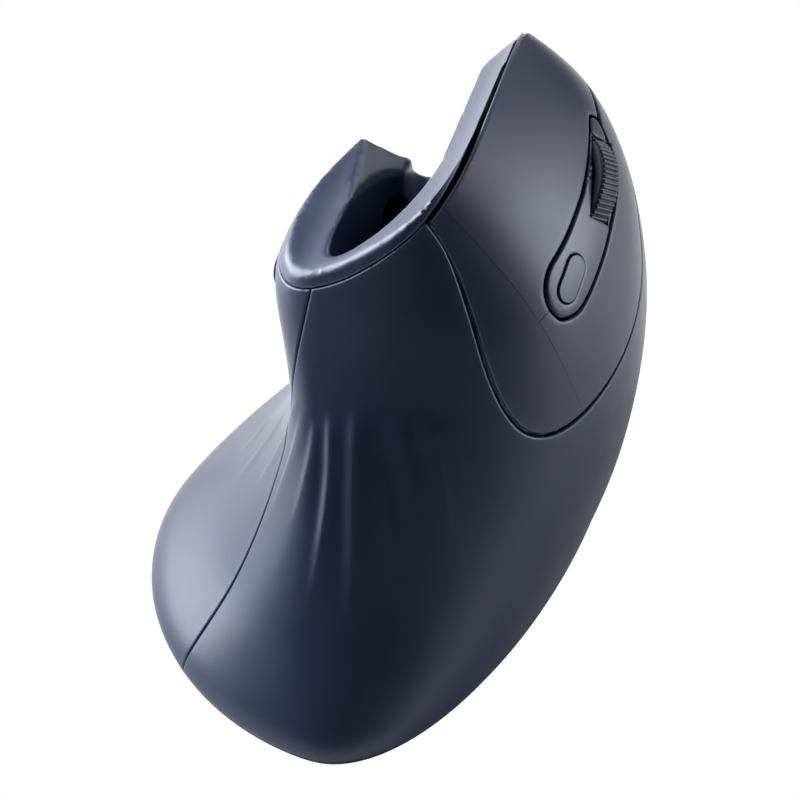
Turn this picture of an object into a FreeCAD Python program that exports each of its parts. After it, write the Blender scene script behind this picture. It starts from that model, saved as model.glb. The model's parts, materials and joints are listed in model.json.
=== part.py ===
import FreeCAD, Part
import math
import os

# right-handed upright mouse, millimetres, floor at z 0, fingers on +X, front on +Y

# overall size
LENGTH = 117.0
WIDTH = 73.0
HEIGHT = 84.0

# walls and visible seams
WALL = 2.0
BUTTON_WALL = 1.4
FRAME_WALL = 1.2
FRAME_LEDGE = 3.0
TUB_WALL = 1.8
COVER_GAP = 0.55
RIDGE_GAP = 1.0
RIM_SEAM = 0.15
HOOK_LID = 2.0
SHELL_SEAM = 0.12
STRIP_GAP = 0.6
SPLIT_GAP = 0.7
HINGE_GAP = 0.15

# running fits and seats, per side
FIT = 0.05
KEY_GAP = 0.25

# wheel and keys
WHEEL_RADIUS = 10.5
WHEEL_WIDTH = 4.6
WHEEL_STAND = 2.0
WHEEL_RIBS = 64
AXLE_RADIUS = 1.2
KEY_TRAVEL = 0.4
SIDE_KEY_STAND = 0.6
KEY_FLANGE = 0.9

# bottom
GLIDE_STAND = 0.6
PLATE_EDGE = 1.4
PLATE_TOP = 3.4
BOARD_LEVEL = 7.0
BOARD_THICK = 1.2
SLIDER_TRAVEL = 3.0

# turn of the ridge away from straight ahead
RIDGE_TURN = -0.08

# pleats around the neck
PLEAT_DEPTH = 0.7

LONG = LENGTH / 117.0
BROAD = WIDTH / 73.0
TALL = HEIGHT / 84.0

# reach of the skin from the middle of the base, against height
LEFT = [(0, -36.8), (3, -36.4), (8, -31.5), (14, -25.5), (22, -20), (32, -15.5), (42, -14),
        (52, -16.3), (59, -19), (62, -19.6), (66, -17.5), (70, -17.2), (92, -17)]
RIGHT = [(0, 32.5), (3, 33), (10, 34.8), (20, 36.2), (30, 36.4), (40, 35.2), (50, 32.6),
         (60, 28.6), (68, 23.3), (74, 18.2), (80, 12), (84, 7.5), (92, -3)]
REAR = [(0, -58.4), (3, -58.2), (8, -54.5), (16, -47.5), (26, -39.5), (36, -32), (46, -25),
        (56, -19), (62, -16), (72, -11), (92, -3)]
FRONT = [(0, 58), (3, 57.8), (10, 55), (20, 51), (30, 48), (40, 46), (50, 44.5), (60, 43.5),
         (68, 42.6), (74, 40.8), (80, 38), (84, 36.2), (92, 32)]

# where the skin reaches furthest on each side, against height
LEFT_Y = [(0, -17), (20, -10), (40, -3), (56, -3), (65, 3), (80, 4), (92, 4)]
RIGHT_Y = [(0, 2), (20, 6), (40, 14), (60, 22), (80, 24), (92, 24)]
REAR_X = [(0, 7), (10, 4), (20, 1), (40, -3), (60, -8), (92, -8)]
FRONT_X = [(0, 2), (20, 4), (40, 8), (60, 8), (74, 8), (80, 5.5), (84, 2), (92, -10)]

# squareness of the four quarters, against height
REAR_RIGHT_POWER = [(0, 2.0), (20, 2.0), (40, 2.05), (60, 2.4), (92, 2.4)]
FRONT_RIGHT_POWER = [(0, 2.05), (20, 2.1), (40, 2.3), (60, 2.6), (74, 3.2), (92, 3.2)]
FRONT_LEFT_POWER = [(0, 1.42), (6, 1.42), (20, 1.5), (40, 1.7), (60, 1.65), (67, 1.8), (80, 1.6), (92, 1.6)]
REAR_LEFT_POWER = [(0, 1.97), (20, 1.97), (40, 2.05), (60, 2.6), (92, 2.6)]

LEVELS = [0, 1.5, 4, 7, 11, 15, 20, 25, 31, 37, 43, 49, 54, 58, 61.5, 64.5, 67.5, 71, 74.5, 78, 81, 84, 87]


def vec(x, y, z):
    return FreeCAD.Vector(x, y, z)


def spot(x, y, z):
    # a point that follows the overall size
    return vec(x * BROAD, y * LONG, z * TALL)


def smooth(points):
    # slopes from the neighbours, cubic pieces between the points
    count = len(points)
    step = [points[i + 1][0] - points[i][0] for i in range(count - 1)]
    rise = [(points[i + 1][1] - points[i][1]) / step[i] for i in range(count - 1)]
    slope = [rise[0]]
    for i in range(1, count - 1):
        slope.append((rise[i - 1] * step[i] + rise[i] * step[i - 1]) / (step[i] + step[i - 1]))
    slope.append(rise[-1])

    def value(at):
        at = min(max(at, points[0][0]), points[-1][0])
        i = 0
        while i < count - 2 and at > points[i + 1][0]:
            i += 1
        s = (at - points[i][0]) / step[i]
        near = (2 * s ** 3 - 3 * s * s + 1) * points[i][1]
        near += (s ** 3 - 2 * s * s + s) * step[i] * slope[i]
        far = (3 * s * s - 2 * s ** 3) * points[i + 1][1]
        far += (s ** 3 - s * s) * step[i] * slope[i + 1]
        return near + far

    return value


left_reach = smooth(LEFT)
right_reach = smooth(RIGHT)
rear_reach = smooth(REAR)
front_reach = smooth(FRONT)
left_y = smooth(LEFT_Y)
right_y = smooth(RIGHT_Y)
rear_x = smooth(REAR_X)
front_x = smooth(FRONT_X)
rear_right_power = smooth(REAR_RIGHT_POWER)
front_right_power = smooth(FRONT_RIGHT_POWER)
front_left_power = smooth(FRONT_LEFT_POWER)
rear_left_power = smooth(REAR_LEFT_POWER)


def plain_point(angle, level):
    c = math.cos(angle)
    s = math.sin(angle)
    middle_x = front_x(level) if s >= 0 else rear_x(level)
    middle_y = right_y(level) if c >= 0 else left_y(level)
    if c >= 0:
        half_x = right_reach(level) - middle_x
        power = front_right_power(level) if s >= 0 else rear_right_power(level)
    else:
        half_x = middle_x - left_reach(level)
        power = front_left_power(level) if s >= 0 else rear_left_power(level)
    half_y = front_reach(level) - middle_y if s >= 0 else middle_y - rear_reach(level)
    x = middle_x + half_x * math.copysign(abs(c) ** (2 / power), c)
    y = middle_y + half_y * math.copysign(abs(s) ** (2 / power), s)
    return spot(x, y, level)


# the pleats fan out downwards from one spot below the rim
FAN_TOP = spot(-3.7, -16.5, 60.5)
FAN_ACROSS = vec(-0.927, -0.375, 0)
FAN_DOWN = vec(0.28, -0.69, -0.67)
FOLDS = [(35, 4, 1.0), (28, 4, 1.0), (21, 4, 1.0), (14, 4, 1.0), (6, 5, 1.6), (-10, 6, 0.5),
         (-21, 6, 0.6), (-32, 7, 0.5)]


def pleat(point):
    from_top = point - FAN_TOP
    down = from_top.dot(FAN_DOWN)
    if down < 4 or down > 52 or point.y > 10:
        return 0.0
    turn = math.degrees(math.atan2(from_top.dot(FAN_ACROSS), down))
    fade = math.sin(math.pi * (down - 4) / 48) ** 0.8
    total = 0.0
    for middle, half, size in FOLDS:
        if abs(turn - middle) < half:
            total += size * (0.5 + 0.5 * math.cos(math.pi * (turn - middle) / half))
    return PLEAT_DEPTH * fade * total


def skin_point(angle, level, depth, pleated):
    point = plain_point(angle, level)
    if depth == 0 and not pleated:
        return point
    low = max(level - 0.5, 0)
    high = min(level + 0.5, 92)
    along = plain_point(angle + 0.01, level) - plain_point(angle - 0.01, level)
    up = plain_point(angle, high) - plain_point(angle, low)
    normal = along.cross(up)
    normal.normalize()
    flat = max(math.hypot(normal.x, normal.y), 0.35)
    if pleated:
        depth = depth - pleat(point)
    push = depth / flat / math.hypot(normal.x, normal.y)
    return vec(point.x - normal.x * push, point.y - normal.y * push, point.z)


def angles(pleated):
    # the pleated quarter needs closer points
    if not pleated:
        return [math.radians(9 * i) for i in range(40)]
    near = [185 + 2.0 * i for i in range(61)]
    far = [305 + 10 * (i + 1) for i in range(23)]
    return [math.radians(a) for a in near + far]


def skin_solid(depth, pleated=False):
    rows = [[skin_point(a, z, depth, pleated) for z in LEVELS] for a in angles(pleated)]
    around = len(rows)
    along = len(LEVELS)
    surface = Part.BSplineSurface()
    v_knots = list(range(along - 2))
    v_mults = [4] + [1] * (along - 4) + [4]
    surface.buildFromPolesMultsKnots(rows, [1] * (around + 1), v_mults,
                                     list(range(around + 1)), v_knots, True, False, 3, 3)
    side = surface.toShape()
    closed = [e for e in side.Edges if e.isClosed()]
    caps = [Part.Face(Part.Wire([e])) for e in closed]
    shell = Part.makeShell([side] + caps)
    solid = Part.Solid(shell)
    if not solid.isValid():
        solid.fix(0.00001, 0.000001, 0.001)
    return solid


def prism(wire, way):
    return Part.Face(wire).extrude(way)


def curve_wire(points, close):
    # a smooth curve through the points, closed by straight lines over the corners
    curve = Part.BSplineCurve()
    curve.interpolate(points)
    line = Part.makePolygon([points[-1]] + close + [points[0]])
    return Part.Wire([curve.toShape()] + line.Edges)


def loop_wire(points):
    curve = Part.BSplineCurve()
    curve.interpolate(points, PeriodicFlag=True)
    return Part.Wire([curve.toShape()])


def slab(low, high):
    # everything between two heights
    plate = Part.makeBox(300, 300, high - low)
    plate.translate(vec(-150, -150, low))
    return plate


def peg(x, y, low, high, radius):
    return Part.makeCylinder(radius, high - low, vec(x, y, low))


def ridge_block(x0, x1, y0, y1, z0, z1):
    # block that keeps beside the slightly turned ridge
    x0 = x0 * BROAD + RIDGE_TURN * y0
    x1 = x1 * BROAD + RIDGE_TURN * y0
    corners = [vec(x0, y0, z0), vec(x1, y0, z0), vec(x1, y0, z1), vec(x0, y0, z1)]
    wire = Part.makePolygon(corners + [corners[0]])
    return Part.Face(wire).extrude(vec(RIDGE_TURN * (y1 - y0), y1 - y0, 0))


def block(x0, x1, y0, y1, z0, z1):
    return Part.makeBox(x1 - x0, y1 - y0, z1 - z0, vec(x0, y0, z0))


def rounded(shape, way, radius):
    # round the edges that run along one direction
    chosen = []
    for edge in shape.Edges:
        ends = edge.Vertexes
        if len(ends) == 2:
            along = ends[1].Point - ends[0].Point
            if along.Length > 0.001 and abs(abs(along.normalize().dot(way)) - 1) < 0.001:
                chosen.append(edge)
    return shape.makeFillet(radius, chosen)


def keep(shape, name):
    # one node, one file
    solids = shape.Solids
    body = solids[0] if len(solids) == 1 else Part.makeCompound(solids)
    body.exportStep("parts/" + name + ".step")
    print(name, len(solids), body.isValid(), round(body.Volume, 1))
    return body


# inclined board below the finger panel
BOARD_DEPTH = 13.0
BOARD_POSTS = [(-17.5, -11), (-17.5, 11), (-11.6, -11.8), (-4, 11.6)]
LEFT_SWITCH = (5.2, 11.0)
RIGHT_SWITCH = (-2.8, -10.4)
SWITCH_HIGH = 5.4
CLICK_GAP = 0.35

# main board and what is fixed to it, seen from above
MAIN_POSTS = [(-13, -2), (16, -2), (17, 20), (-7.5, 34)]
MAIN_BOARD = [(-17, -6), (20, -6), (21.5, 20), (15, 42), (10.5, 50), (-0.5, 50), (-7, 42), (-15, 24)]
LENS_X = 2.0
LENS_Y = 8.0
SLIDER_X = -10.0
SLIDER_Y = 14.0
PORT_X = 5.0

# thumb keys on the left wall: rear, front, low, high
THUMB_KEYS = [("back", -9.5, 3.6, 53.5, 59.5), ("forward", 4.4, 15.8, 55.5, 61.6)]
THUMB_LEAN = 0.3
THUMB_TURN = 0.14

# drawing plane of the finger panel: u along Y, v up the panel, t outwards
PANEL_OUT = vec(0.8, 0, 0.6)
PANEL_UP = vec(-0.6, 0, 0.8)


def panel_at(u, v, t):
    flat = PANEL_UP * v + PANEL_OUT * t
    return spot(flat.x, u, flat.z)


def panel_prism(points, closed_smooth, start, end):
    way = panel_at(0, 0, end) - panel_at(0, 0, start)
    if closed_smooth:
        return prism(loop_wire([panel_at(u, v, start) for u, v in points]), way)
    corners = [panel_at(u, v, start) for u, v in points]
    return prism(Part.makePolygon(corners + [corners[0]]), way)


def grown(points, gap):
    # move each point of a loop outwards by the gap
    count = len(points)
    turn = sum(points[i][0] * points[(i + 1) % count][1] - points[(i + 1) % count][0] * points[i][1]
               for i in range(count))
    side = 1 if turn > 0 else -1
    result = []
    for i in range(count):
        du = points[(i + 1) % count][0] - points[i - 1][0]
        dv = points[(i + 1) % count][1] - points[i - 1][1]
        size = math.hypot(du, dv)
        result.append((points[i][0] + side * dv / size * gap, points[i][1] - side * du / size * gap))
    return result


# seam of the button cover from the ridge round to the front, on the panel
COVER_START = 40
COVER_SEAM = [(-4.9, 62), (-4.9, 56), (-5.3, 52), (-7.2, 45), (-9.8, 36.5), (-11.8, 28.5), (-12.4, 22.5),
              (-11.6, 17.8), (-9.2, 14.6), (-5.0, 12.4), (1, 11.3), (9, 11.2), (17, 12.6), (23.4, 15.6),
              (27.4, 19.4), (31, 25), (36, 31), (44, 37), (58, 43)]


def cover_prism(gap, starts_thin=False):
    edge = grown(COVER_SEAM, gap)
    if starts_thin:
        # the gap opens slowly below the ridge
        for i, share in enumerate((0.2, 0.25, 0.5, 0.8)):
            u, v = COVER_SEAM[i]
            edge[i] = (u + share * (edge[i][0] - u), v + share * (edge[i][1] - v))
    edge = edge[1:-1]
    edge = [(edge[0][0], 62)] + edge + [(58, edge[-1][1] + 6)]
    start = COVER_START - gap
    curve = [panel_at(u, v, start) for u, v in edge]
    corners = [panel_at(58, 100, start), panel_at(edge[0][0], 100, start)]
    return prism(curve_wire(curve, corners), panel_at(0, 0, 110) - panel_at(0, 0, start))


# middle of the gap around the strip, and the key and slot in the strip, on the panel
STRIP = [(0.8, 31.7), (1.1, 33.2), (1.8, 34.6), (2.9, 35.7), (4.4, 36.5), (7.2, 36.95), (11.7, 37.6),
         (15.4, 38.35), (19, 39.1), (22.3, 40.1), (25, 41.1), (28.3, 42.7), (31.2, 44.2), (32.6, 44.6),
         (33.4, 43.6), (32.7, 40.3), (31.2, 36.6), (28.3, 34.2), (24.7, 32.2), (21.3, 30.9), (17.1, 29.35),
         (12, 27.85), (7.8, 26.85), (5.6, 26.6), (4.2, 26.8), (2.8, 27.4), (1.7, 28.3), (1, 29.9)]
KEY_U = 6.9
KEY_V = 31.9
KEY_LONG = 4.0
KEY_SHORT = 2.0
KEY_TURN = 21.5
WHEEL_U = 25.0
WHEEL_V = 36.9
WHEEL_TURN = 31.0
SPLIT_START = (33.0, 41.85)
SPLIT_RISE = 0.78
HINGE_U = -2.0

# profile of the rim seam and of the crown above it, seen from behind at y 0
RIM = [(-45, 62.4), (-24, 62.6), (-17, 62.9), (-11.7, 64.2), (-6.1, 66.9), (-1.7, 70), (1.8, 72.8),
       (4.9, 75.7), (7.1, 78.6), (8.2, 80.6), (8.8, 82.5), (8.8, 85), (8.8, 95)]
CROWN = [(-45, 64.4), (-26, 64.8), (-20, 65), (-14.5, 65.5), (-10, 67.1), (-6, 69.5), (-1.7, 72.6),
         (1.8, 75.3), (5, 78.1), (7.9, 81.2), (9.9, 84.2), (11, 88)]


def profile_prism(points, dx, dz, back, front, over):
    # a profile seen from behind, drawn out along the ridge
    at_back = [spot(x + dx + RIDGE_TURN * back, back, z + dz) for x, z in points]
    if over:
        close = [spot(points[-1][0] + dx + RIDGE_TURN * back, back, 130), spot(-80, back, 130),
                 spot(-80, back, points[0][1] + dz)]
    else:
        close = [spot(80, back, points[-1][1] + dz), spot(80, back, -10), spot(-80, back, -10),
                 spot(-80, back, points[0][1] + dz)]
    way = spot(RIDGE_TURN * (front - back), front - back, 0)
    return prism(curve_wire(at_back, close), way)


# the open pocket: height, left, right, rear, front, rearmost x
POCKET = [(46, -7, -3.6, 4, 13, -5.6), (50, -7.5, -2.6, -0.5, 16.3, -6.6), (55, -7.9, -1.4, -4.2, 17.2, -7),
          (60, -8.6, 0, -7, 17.5, -7.4), (65, -10.2, 1.8, -8.8, 17.6, -7.8),
          (70, -10.9, 3, -9.8, 17.6, -8), (78, -11.3, 3.7, -10.4, 17.6, -8),
          (90, -12, 4.1, -11, 17.6, -8)]
POCKET_SIDE_Y = 8.0
NOTCH_LEFT = -5.8
NOTCH_FLOOR = 54.0


def pocket_solid(grow):
    columns = []
    for i in range(36):
        angle = math.radians(10 * i)
        c = math.cos(angle)
        s = math.sin(angle)
        column = []
        for level, left, right, rear, front, rear_middle in POCKET:
            if level == POCKET[0][0]:
                level = level - grow
            middle_x = 0.5 * (left + right) if s >= 0 else rear_middle
            middle_y = POCKET_SIDE_Y if c >= 0 else 3.0
            middle_x = min(middle_x, right - 2)
            half_x = right + grow - middle_x if c >= 0 else middle_x - left + grow
            half_y = front + grow - middle_y if s >= 0 else middle_y - rear + grow
            power = 3.0 if s >= 0 else (1.7 if c >= 0 else 2.5)
            x = middle_x + half_x * math.copysign(abs(c) ** (2 / power), c)
            y = middle_y + half_y * math.copysign(abs(s) ** (2 / power), s)
            column.append(spot(x, y, level))
        columns.append(column)
    surface = Part.BSplineSurface()
    rows = len(POCKET)
    surface.buildFromPolesMultsKnots(columns, [1] * 37, [4] + [1] * (rows - 4) + [4],
                                     list(range(37)), list(range(rows - 2)), True, False, 3, 3)
    side = surface.toShape()
    caps = [Part.Face(Part.Wire([e])) for e in side.Edges if e.isClosed()]
    solid = Part.Solid(Part.makeShell([side] + caps))
    solid.fix(0.00001, 0.000001, 0.001)
    return solid


def notch_prism(left, floor, grow, back, front):
    # the way out of the pocket between the two horns
    right = [(r + grow, z) for z, _, r, _, _, _ in POCKET[1:]]
    right = [p for p in right if p[1] > floor + 4]
    low = [(left, floor + 5), (left + 0.7, floor + 2), (left + 3, floor + 0.1), (left + 5, floor + 0.6)]
    curve = low + right
    points = [spot(x + RIDGE_TURN * (back - POCKET_SIDE_Y), back, z) for x, z in curve]
    close = [spot(curve[-1][0] + RIDGE_TURN * (back - POCKET_SIDE_Y), back, 100),
             spot(left + RIDGE_TURN * (back - POCKET_SIDE_Y), back, 100)]
    way = spot(RIDGE_TURN * (front - back), front - back, 0)
    return prism(curve_wire(points, close), way)


def scoop_solid(grow):
    # hollow front face between the horns, fading out towards the base
    across = smooth([(18, -13), (30, -15), (40, -16), (62, -16.2), (70, -17.2), (76, -16.2), (80, -13.6),
                     (84, -9.5), (95, 1)])
    ahead = smooth([(18, 74), (30, 58), (40, 49.5), (48, 44.8), (56, 41.5), (64, 39), (70, 39.2), (76, 41),
                    (80, 42.6), (84, 43.4), (95, 44)])
    columns = []
    levels = [18 + 3.5 * i for i in range(23)]
    for i in range(24):
        angle = math.radians(15 * i)
        reach = 1.0115 * (20 + grow)
        columns.append([spot(across(z) + reach * math.cos(angle), ahead(z) + reach * math.sin(angle), z)
                        for z in levels])
    surface = Part.BSplineSurface()
    rows = len(levels)
    surface.buildFromPolesMultsKnots(columns, [1] * 25, [4] + [1] * (rows - 4) + [4],
                                     list(range(25)), list(range(rows - 2)), True, False, 3, 3)
    side = surface.toShape()
    caps = [Part.Face(Part.Wire([e])) for e in side.Edges if e.isClosed()]
    solid = Part.Solid(Part.makeShell([side] + caps))
    solid.fix(0.00001, 0.000001, 0.001)
    return solid


# plan line where the palm shell meets the thumb shell
PARTING = [(-30, -90), (-24, -58), (-18.5, -47), (-14.2, -38.8), (-11.4, -27), (-10, -17), (-9, -6),
           (-8.5, 12), (-8, 40), (-8, 90)]


def thumb_side(gap):
    points = [spot(x + gap, y, -5) for x, y in PARTING]
    close = [spot(-90, 90, -5), spot(-90, -90, -5)]
    return prism(curve_wire(points, close), vec(0, 0, 120))


def on_surface(solid, u, v):
    # outermost crossing of a line square to the panel
    line = Part.makeLine(panel_at(u, v, 36), panel_at(u, v, 90))
    hits = solid.common(line).Vertexes
    return max((p.Point for p in hits), key=lambda q: q.dot(PANEL_OUT))


def surface_normal(solid, u, v):
    a = on_surface(solid, u + 1.5, v) - on_surface(solid, u - 1.5, v)
    b = on_surface(solid, u, v + 1.5) - on_surface(solid, u, v - 1.5)
    normal = a.cross(b)
    normal.normalize()
    return normal if normal.dot(PANEL_OUT) > 0 else normal * -1


def frame_on(origin, along, out):
    # local frame: x along, z outwards
    side = out.cross(along)
    side.normalize()
    along = side.cross(out)
    turn = FreeCAD.Rotation(along, side, out, "ZXY")
    return FreeCAD.Placement(origin, turn)


def placed(shape, frame):
    copy = shape.copy()
    copy.Placement = frame.multiply(copy.Placement)
    return copy


def around(solid, u, v, turn):
    # frame on the skin above one spot of the panel, x turned from +Y towards the ridge
    origin = on_surface(solid, u, v)
    out = surface_normal(solid, u, v)
    angle = math.radians(turn)
    along = vec(0, 1, 0) * math.cos(angle) + PANEL_UP * math.sin(angle)
    return frame_on(origin, along, out)


def oval_post(long, short, low, high):
    # upright post with oval outline in a local frame
    ring = Part.Ellipse(vec(0, 0, low), long, short)
    face = Part.Face(Part.Wire([ring.toShape()]))
    return face.extrude(vec(0, 0, high - low))


def long_post(long, short, low, high):
    # upright post with straight sides and round ends
    return soft_block(-long, long, -short, short, low, high, short - 0.01)


def soft_block(x0, x1, y0, y1, z0, z1, radius):
    return rounded(block(x0, x1, y0, y1, z0, z1), vec(0, 0, 1), radius)


def build():
    nodes = {}
    outer = skin_solid(0, True)
    scoop = scoop_solid(0)
    wall_skin = skin_solid(WALL)
    under_button = skin_solid(BUTTON_WALL)
    body = outer.cut(scoop)
    hollow = wall_skin.cut(scoop_solid(WALL))
    above = profile_prism(RIM, 0, 0, -90, 90, True)
    above_seam = profile_prism(RIM, 0, -RIM_SEAM, -90, 90, True)
    under_crown = profile_prism(CROWN, 0, 0, -90, 90, False)
    opening = pocket_solid(0).fuse(notch_prism(NOTCH_LEFT, NOTCH_FLOOR, 0, POCKET_SIDE_Y, 70))
    recess_at = spot(-8.2, 14.2, 0)
    recess = oval_post(2.8, 2.5, 47, 58)
    recess.translate(recess_at)
    opening = opening.fuse(recess.makeFillet(1.5, [e for e in recess.Edges if e.BoundBox.ZMin > 57]))
    tub_form = pocket_solid(TUB_WALL).fuse(
        notch_prism(NOTCH_LEFT - TUB_WALL, NOTCH_FLOOR - TUB_WALL, TUB_WALL, POCKET_SIDE_Y, 70))
    cheek = ridge_block(-1, 9.2, 27 * LONG, 70, (NOTCH_FLOOR - TUB_WALL) * TALL, 84 * TALL)
    recess_wall = oval_post(2.8 + 1, 2.5 + 1, 46, 60)
    recess_wall.translate(recess_at)
    tub_form = tub_form.fuse(cheek).fuse(recess_wall)
    tub = tub_form.common(body).common(under_crown)

    # rim piece with the pocket
    rim = body.common(above).common(under_crown)
    saddle = rim.fuse(tub).cut(opening)
    hook_top = frame_on(spot(-12.2, 13, 66), vec(0, 1, 0), vec(0.489, 0.171, 0.856))
    hook_limit = block(-60, -1.5, 0, 60, 40, 120)
    hook_lid = placed(block(-8, 30, -30, 5, -HOOK_LID, 0), hook_top).common(hook_limit)
    saddle = saddle.fuse(hook_lid.common(body).common(under_crown))
    saddle = saddle.cut(placed(block(-8, 30, -30, 5, 0, 30), hook_top).common(hook_limit))
    hook_room = placed(block(-8, 30, -30, 5, -HOOK_LID - RIM_SEAM, 30), hook_top).common(hook_limit)

    # shells
    tub_room = pocket_solid(TUB_WALL + FIT).fuse(
        notch_prism(NOTCH_LEFT - TUB_WALL - FIT, NOTCH_FLOOR - TUB_WALL - FIT, TUB_WALL + FIT,
                    POCKET_SIDE_Y, 70))
    cheek_room = ridge_block(-1, 9.2 + FIT, 27 * LONG - FIT, 70,
                             (NOTCH_FLOOR - TUB_WALL) * TALL - FIT, 90 * TALL)
    recess_room = oval_post(2.8 + 1 + FIT, 2.5 + 1 + FIT, 46 - FIT, 60)
    recess_room.translate(recess_at)
    tub_room = tub_room.fuse(cheek_room).fuse(recess_room)
    ground = slab(-1, PLATE_EDGE + SHELL_SEAM)
    walls = body.cut(ground).cut(above_seam).cut(hollow).cut(tub_room).cut(hook_room)
    bosses = [(14, -39, 21), (20.5, 35, 14), (-22, -27, 18), (-18, 18, 22)]
    for x, y, top in bosses:
        place = spot(x, y, 0)
        boss = peg(place.x, place.y, PLATE_TOP + 0.02, top * TALL, 2.6)
        reach = 14 if x > 0 else -14
        web = block(min(place.x, place.x + reach), max(place.x, place.x + reach), place.y - 0.8,
                    place.y + 0.8, PLATE_TOP + 0.6, 13 * TALL)
        boss = boss.fuse(web).common(body)
        walls = walls.fuse(boss)
        walls = walls.cut(peg(place.x, place.y, 0, 9, 0.95))
    thumb = walls.common(thumb_side(-0.5 * SHELL_SEAM))
    palm = walls.cut(thumb_side(0.5 * SHELL_SEAM)).cut(cover_prism(COVER_GAP, True))

    # cover, buttons and strip on the finger panel
    beside_ridge = [(x + RIDGE_GAP * min(max((z - 60) / 20, 0.4), 1), z) for x, z in RIM]
    right_of_ridge = profile_prism(beside_ridge, 0, -0.2, -90, 90, True)
    front_limit = ridge_block(-40, 9.2 + RIDGE_GAP, 22 * LONG, 90, 0, 82 * TALL)
    panel = body.common(cover_prism(0)).cut(right_of_ridge).cut(front_limit)
    behind = panel_prism([(HINGE_U, -5), (HINGE_U, 110), (-60, 110), (-60, -5)], False, 36, 110)
    ahead = panel_prism([(HINGE_U + HINGE_GAP, -5), (HINGE_U + HINGE_GAP, 110), (90, 110), (90, -5)],
                        False, 36, 110)
    split_u, split_v = SPLIT_START
    split_half = 0.5 * SPLIT_GAP * math.hypot(1, SPLIT_RISE)
    split_end = split_v + SPLIT_RISE * (70 - split_u)
    upper = panel_prism([(-9, 31.4 + 0.07), (3, 31.4 + 0.07), (26, 38), (split_u, split_v + split_half),
                         (70, split_end + split_half), (70, 110), (-9, 110)], False, 36, 110)
    lower = panel_prism([(-9, 31.4 - 0.07), (3, 31.4 - 0.07), (26, 37), (split_u, split_v - split_half),
                         (70, split_end - split_half), (70, -5), (-9, -5)], False, 36, 110)
    strip_room = panel_prism(grown(STRIP, 0.5 * STRIP_GAP), True, 36, 90)
    nodes["button_cover"] = panel.common(behind).cut(wall_skin)
    button_skin = panel.common(ahead).cut(under_button).cut(strip_room)
    left_button = button_skin.common(upper)
    right_button = button_skin.common(lower)

    # black frame below the buttons
    frame = wall_skin.common(cover_prism(FRAME_LEDGE)).cut(skin_solid(WALL + FRAME_WALL))
    frame = frame.cut(scoop_solid(WALL)).cut(above_seam).cut(tub_room)
    strip_body = outer.common(panel_prism(grown(STRIP, -0.5 * STRIP_GAP), True, 36, 90)).cut(wall_skin)

    # openings in the black frame and stems of the keys
    wheel_frame = around(outer, WHEEL_U, WHEEL_V, WHEEL_TURN)
    key_frame = around(outer, KEY_U, KEY_V, KEY_TURN)
    board_frame = around(outer, 12, 34, 0)
    slot = soft_block(-6.5, 6.5, -0.5 * WHEEL_WIDTH - 0.35, 0.5 * WHEEL_WIDTH + 0.35, -7, 6, 2.0)
    frame_slot = block(-13, 13, -6, 6, -9, 3)
    key_hole = long_post(KEY_LONG + KEY_GAP, KEY_SHORT + KEY_GAP, -7, 4)
    room_start = vec(0, -0.5 * WHEEL_WIDTH - 0.35, WHEEL_STAND - WHEEL_RADIUS)
    wheel_room = Part.makeCylinder(WHEEL_RADIUS + 0.35, WHEEL_WIDTH + 0.7, room_start, vec(0, 1, 0))
    wheel_room = placed(wheel_room, wheel_frame)
    strip_body = strip_body.cut(placed(slot, wheel_frame)).cut(placed(key_hole, key_frame))
    strip_body = strip_body.cut(wheel_room)
    nodes["centre_strip"] = strip_body
    left_button = left_button.cut(wheel_room)
    right_button = right_button.cut(wheel_room)
    frame = frame.cut(placed(frame_slot, wheel_frame)).cut(wheel_room)
    frame = frame.cut(placed(oval_post(2.6, 1.9, -8, 4), key_frame))

    # mode key above the rear of the strip
    proud_skin = skin_solid(-0.25)
    key_cap = proud_skin.common(placed(long_post(KEY_LONG, KEY_SHORT, -6, 6), key_frame)).cut(under_button)
    key_stem = placed(oval_post(2.0, 1.4, 4.1 - BOARD_DEPTH, -1.0), key_frame)
    nodes["mode_key"] = key_cap.fuse(key_stem)

    # inclined board with its switches, square to the panel
    board = board_plate().cut(board_slot(wheel_frame, board_frame))
    nodes["finger_board"] = placed(board, board_frame)
    for x, y in BOARD_POSTS:
        post = placed(peg(x, y, -BOARD_DEPTH, 4, 1.7), board_frame).common(wall_skin)
        bore = placed(peg(x, y, -BOARD_DEPTH - 3, -BOARD_DEPTH + 4.5, 0.72), board_frame)
        frame = frame.fuse(post).cut(bore)
    leg_limit = skin_solid(BUTTON_WALL - 0.3)
    clicked = (("left", left_button, LEFT_SWITCH), ("right", right_button, RIGHT_SWITCH))
    for name, button, (x, y) in clicked:
        case = soft_block(x - 6.4, x + 6.4, y - 2.9, y + 2.9, -BOARD_DEPTH, SWITCH_HIGH - BOARD_DEPTH, 0.4)
        knob = Part.makeSphere(1.0, vec(x + 3.2, y, SWITCH_HIGH - 0.1 - BOARD_DEPTH))
        nodes[name + "_microswitch"] = placed(case.fuse(knob), board_frame)
        leg_start = SWITCH_HIGH + 0.9 + CLICK_GAP - BOARD_DEPTH
        leg = placed(block(x + 2.0, x + 4.4, y - 1.2, y + 1.2, leg_start, 5), board_frame)
        nodes[name + "_button"] = button.fuse(leg.common(leg_limit))
        room = block(x + 1.2, x + 5.2, y - 2.0, y + 2.0, SWITCH_HIGH - 0.8 - BOARD_DEPTH, 5)
        frame = frame.cut(placed(room, board_frame))
    nodes["button_frame"] = frame
    key_switch = soft_block(-2.2, 2.2, -2.2, 2.2, -BOARD_DEPTH, -BOARD_DEPTH + 3.1, 0.4)
    key_spot = board_frame.inverse().multVec(key_frame.Base)
    key_switch.translate(vec(key_spot.x, key_spot.y, 0))
    nodes["mode_switch"] = placed(key_switch, board_frame)

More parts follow.
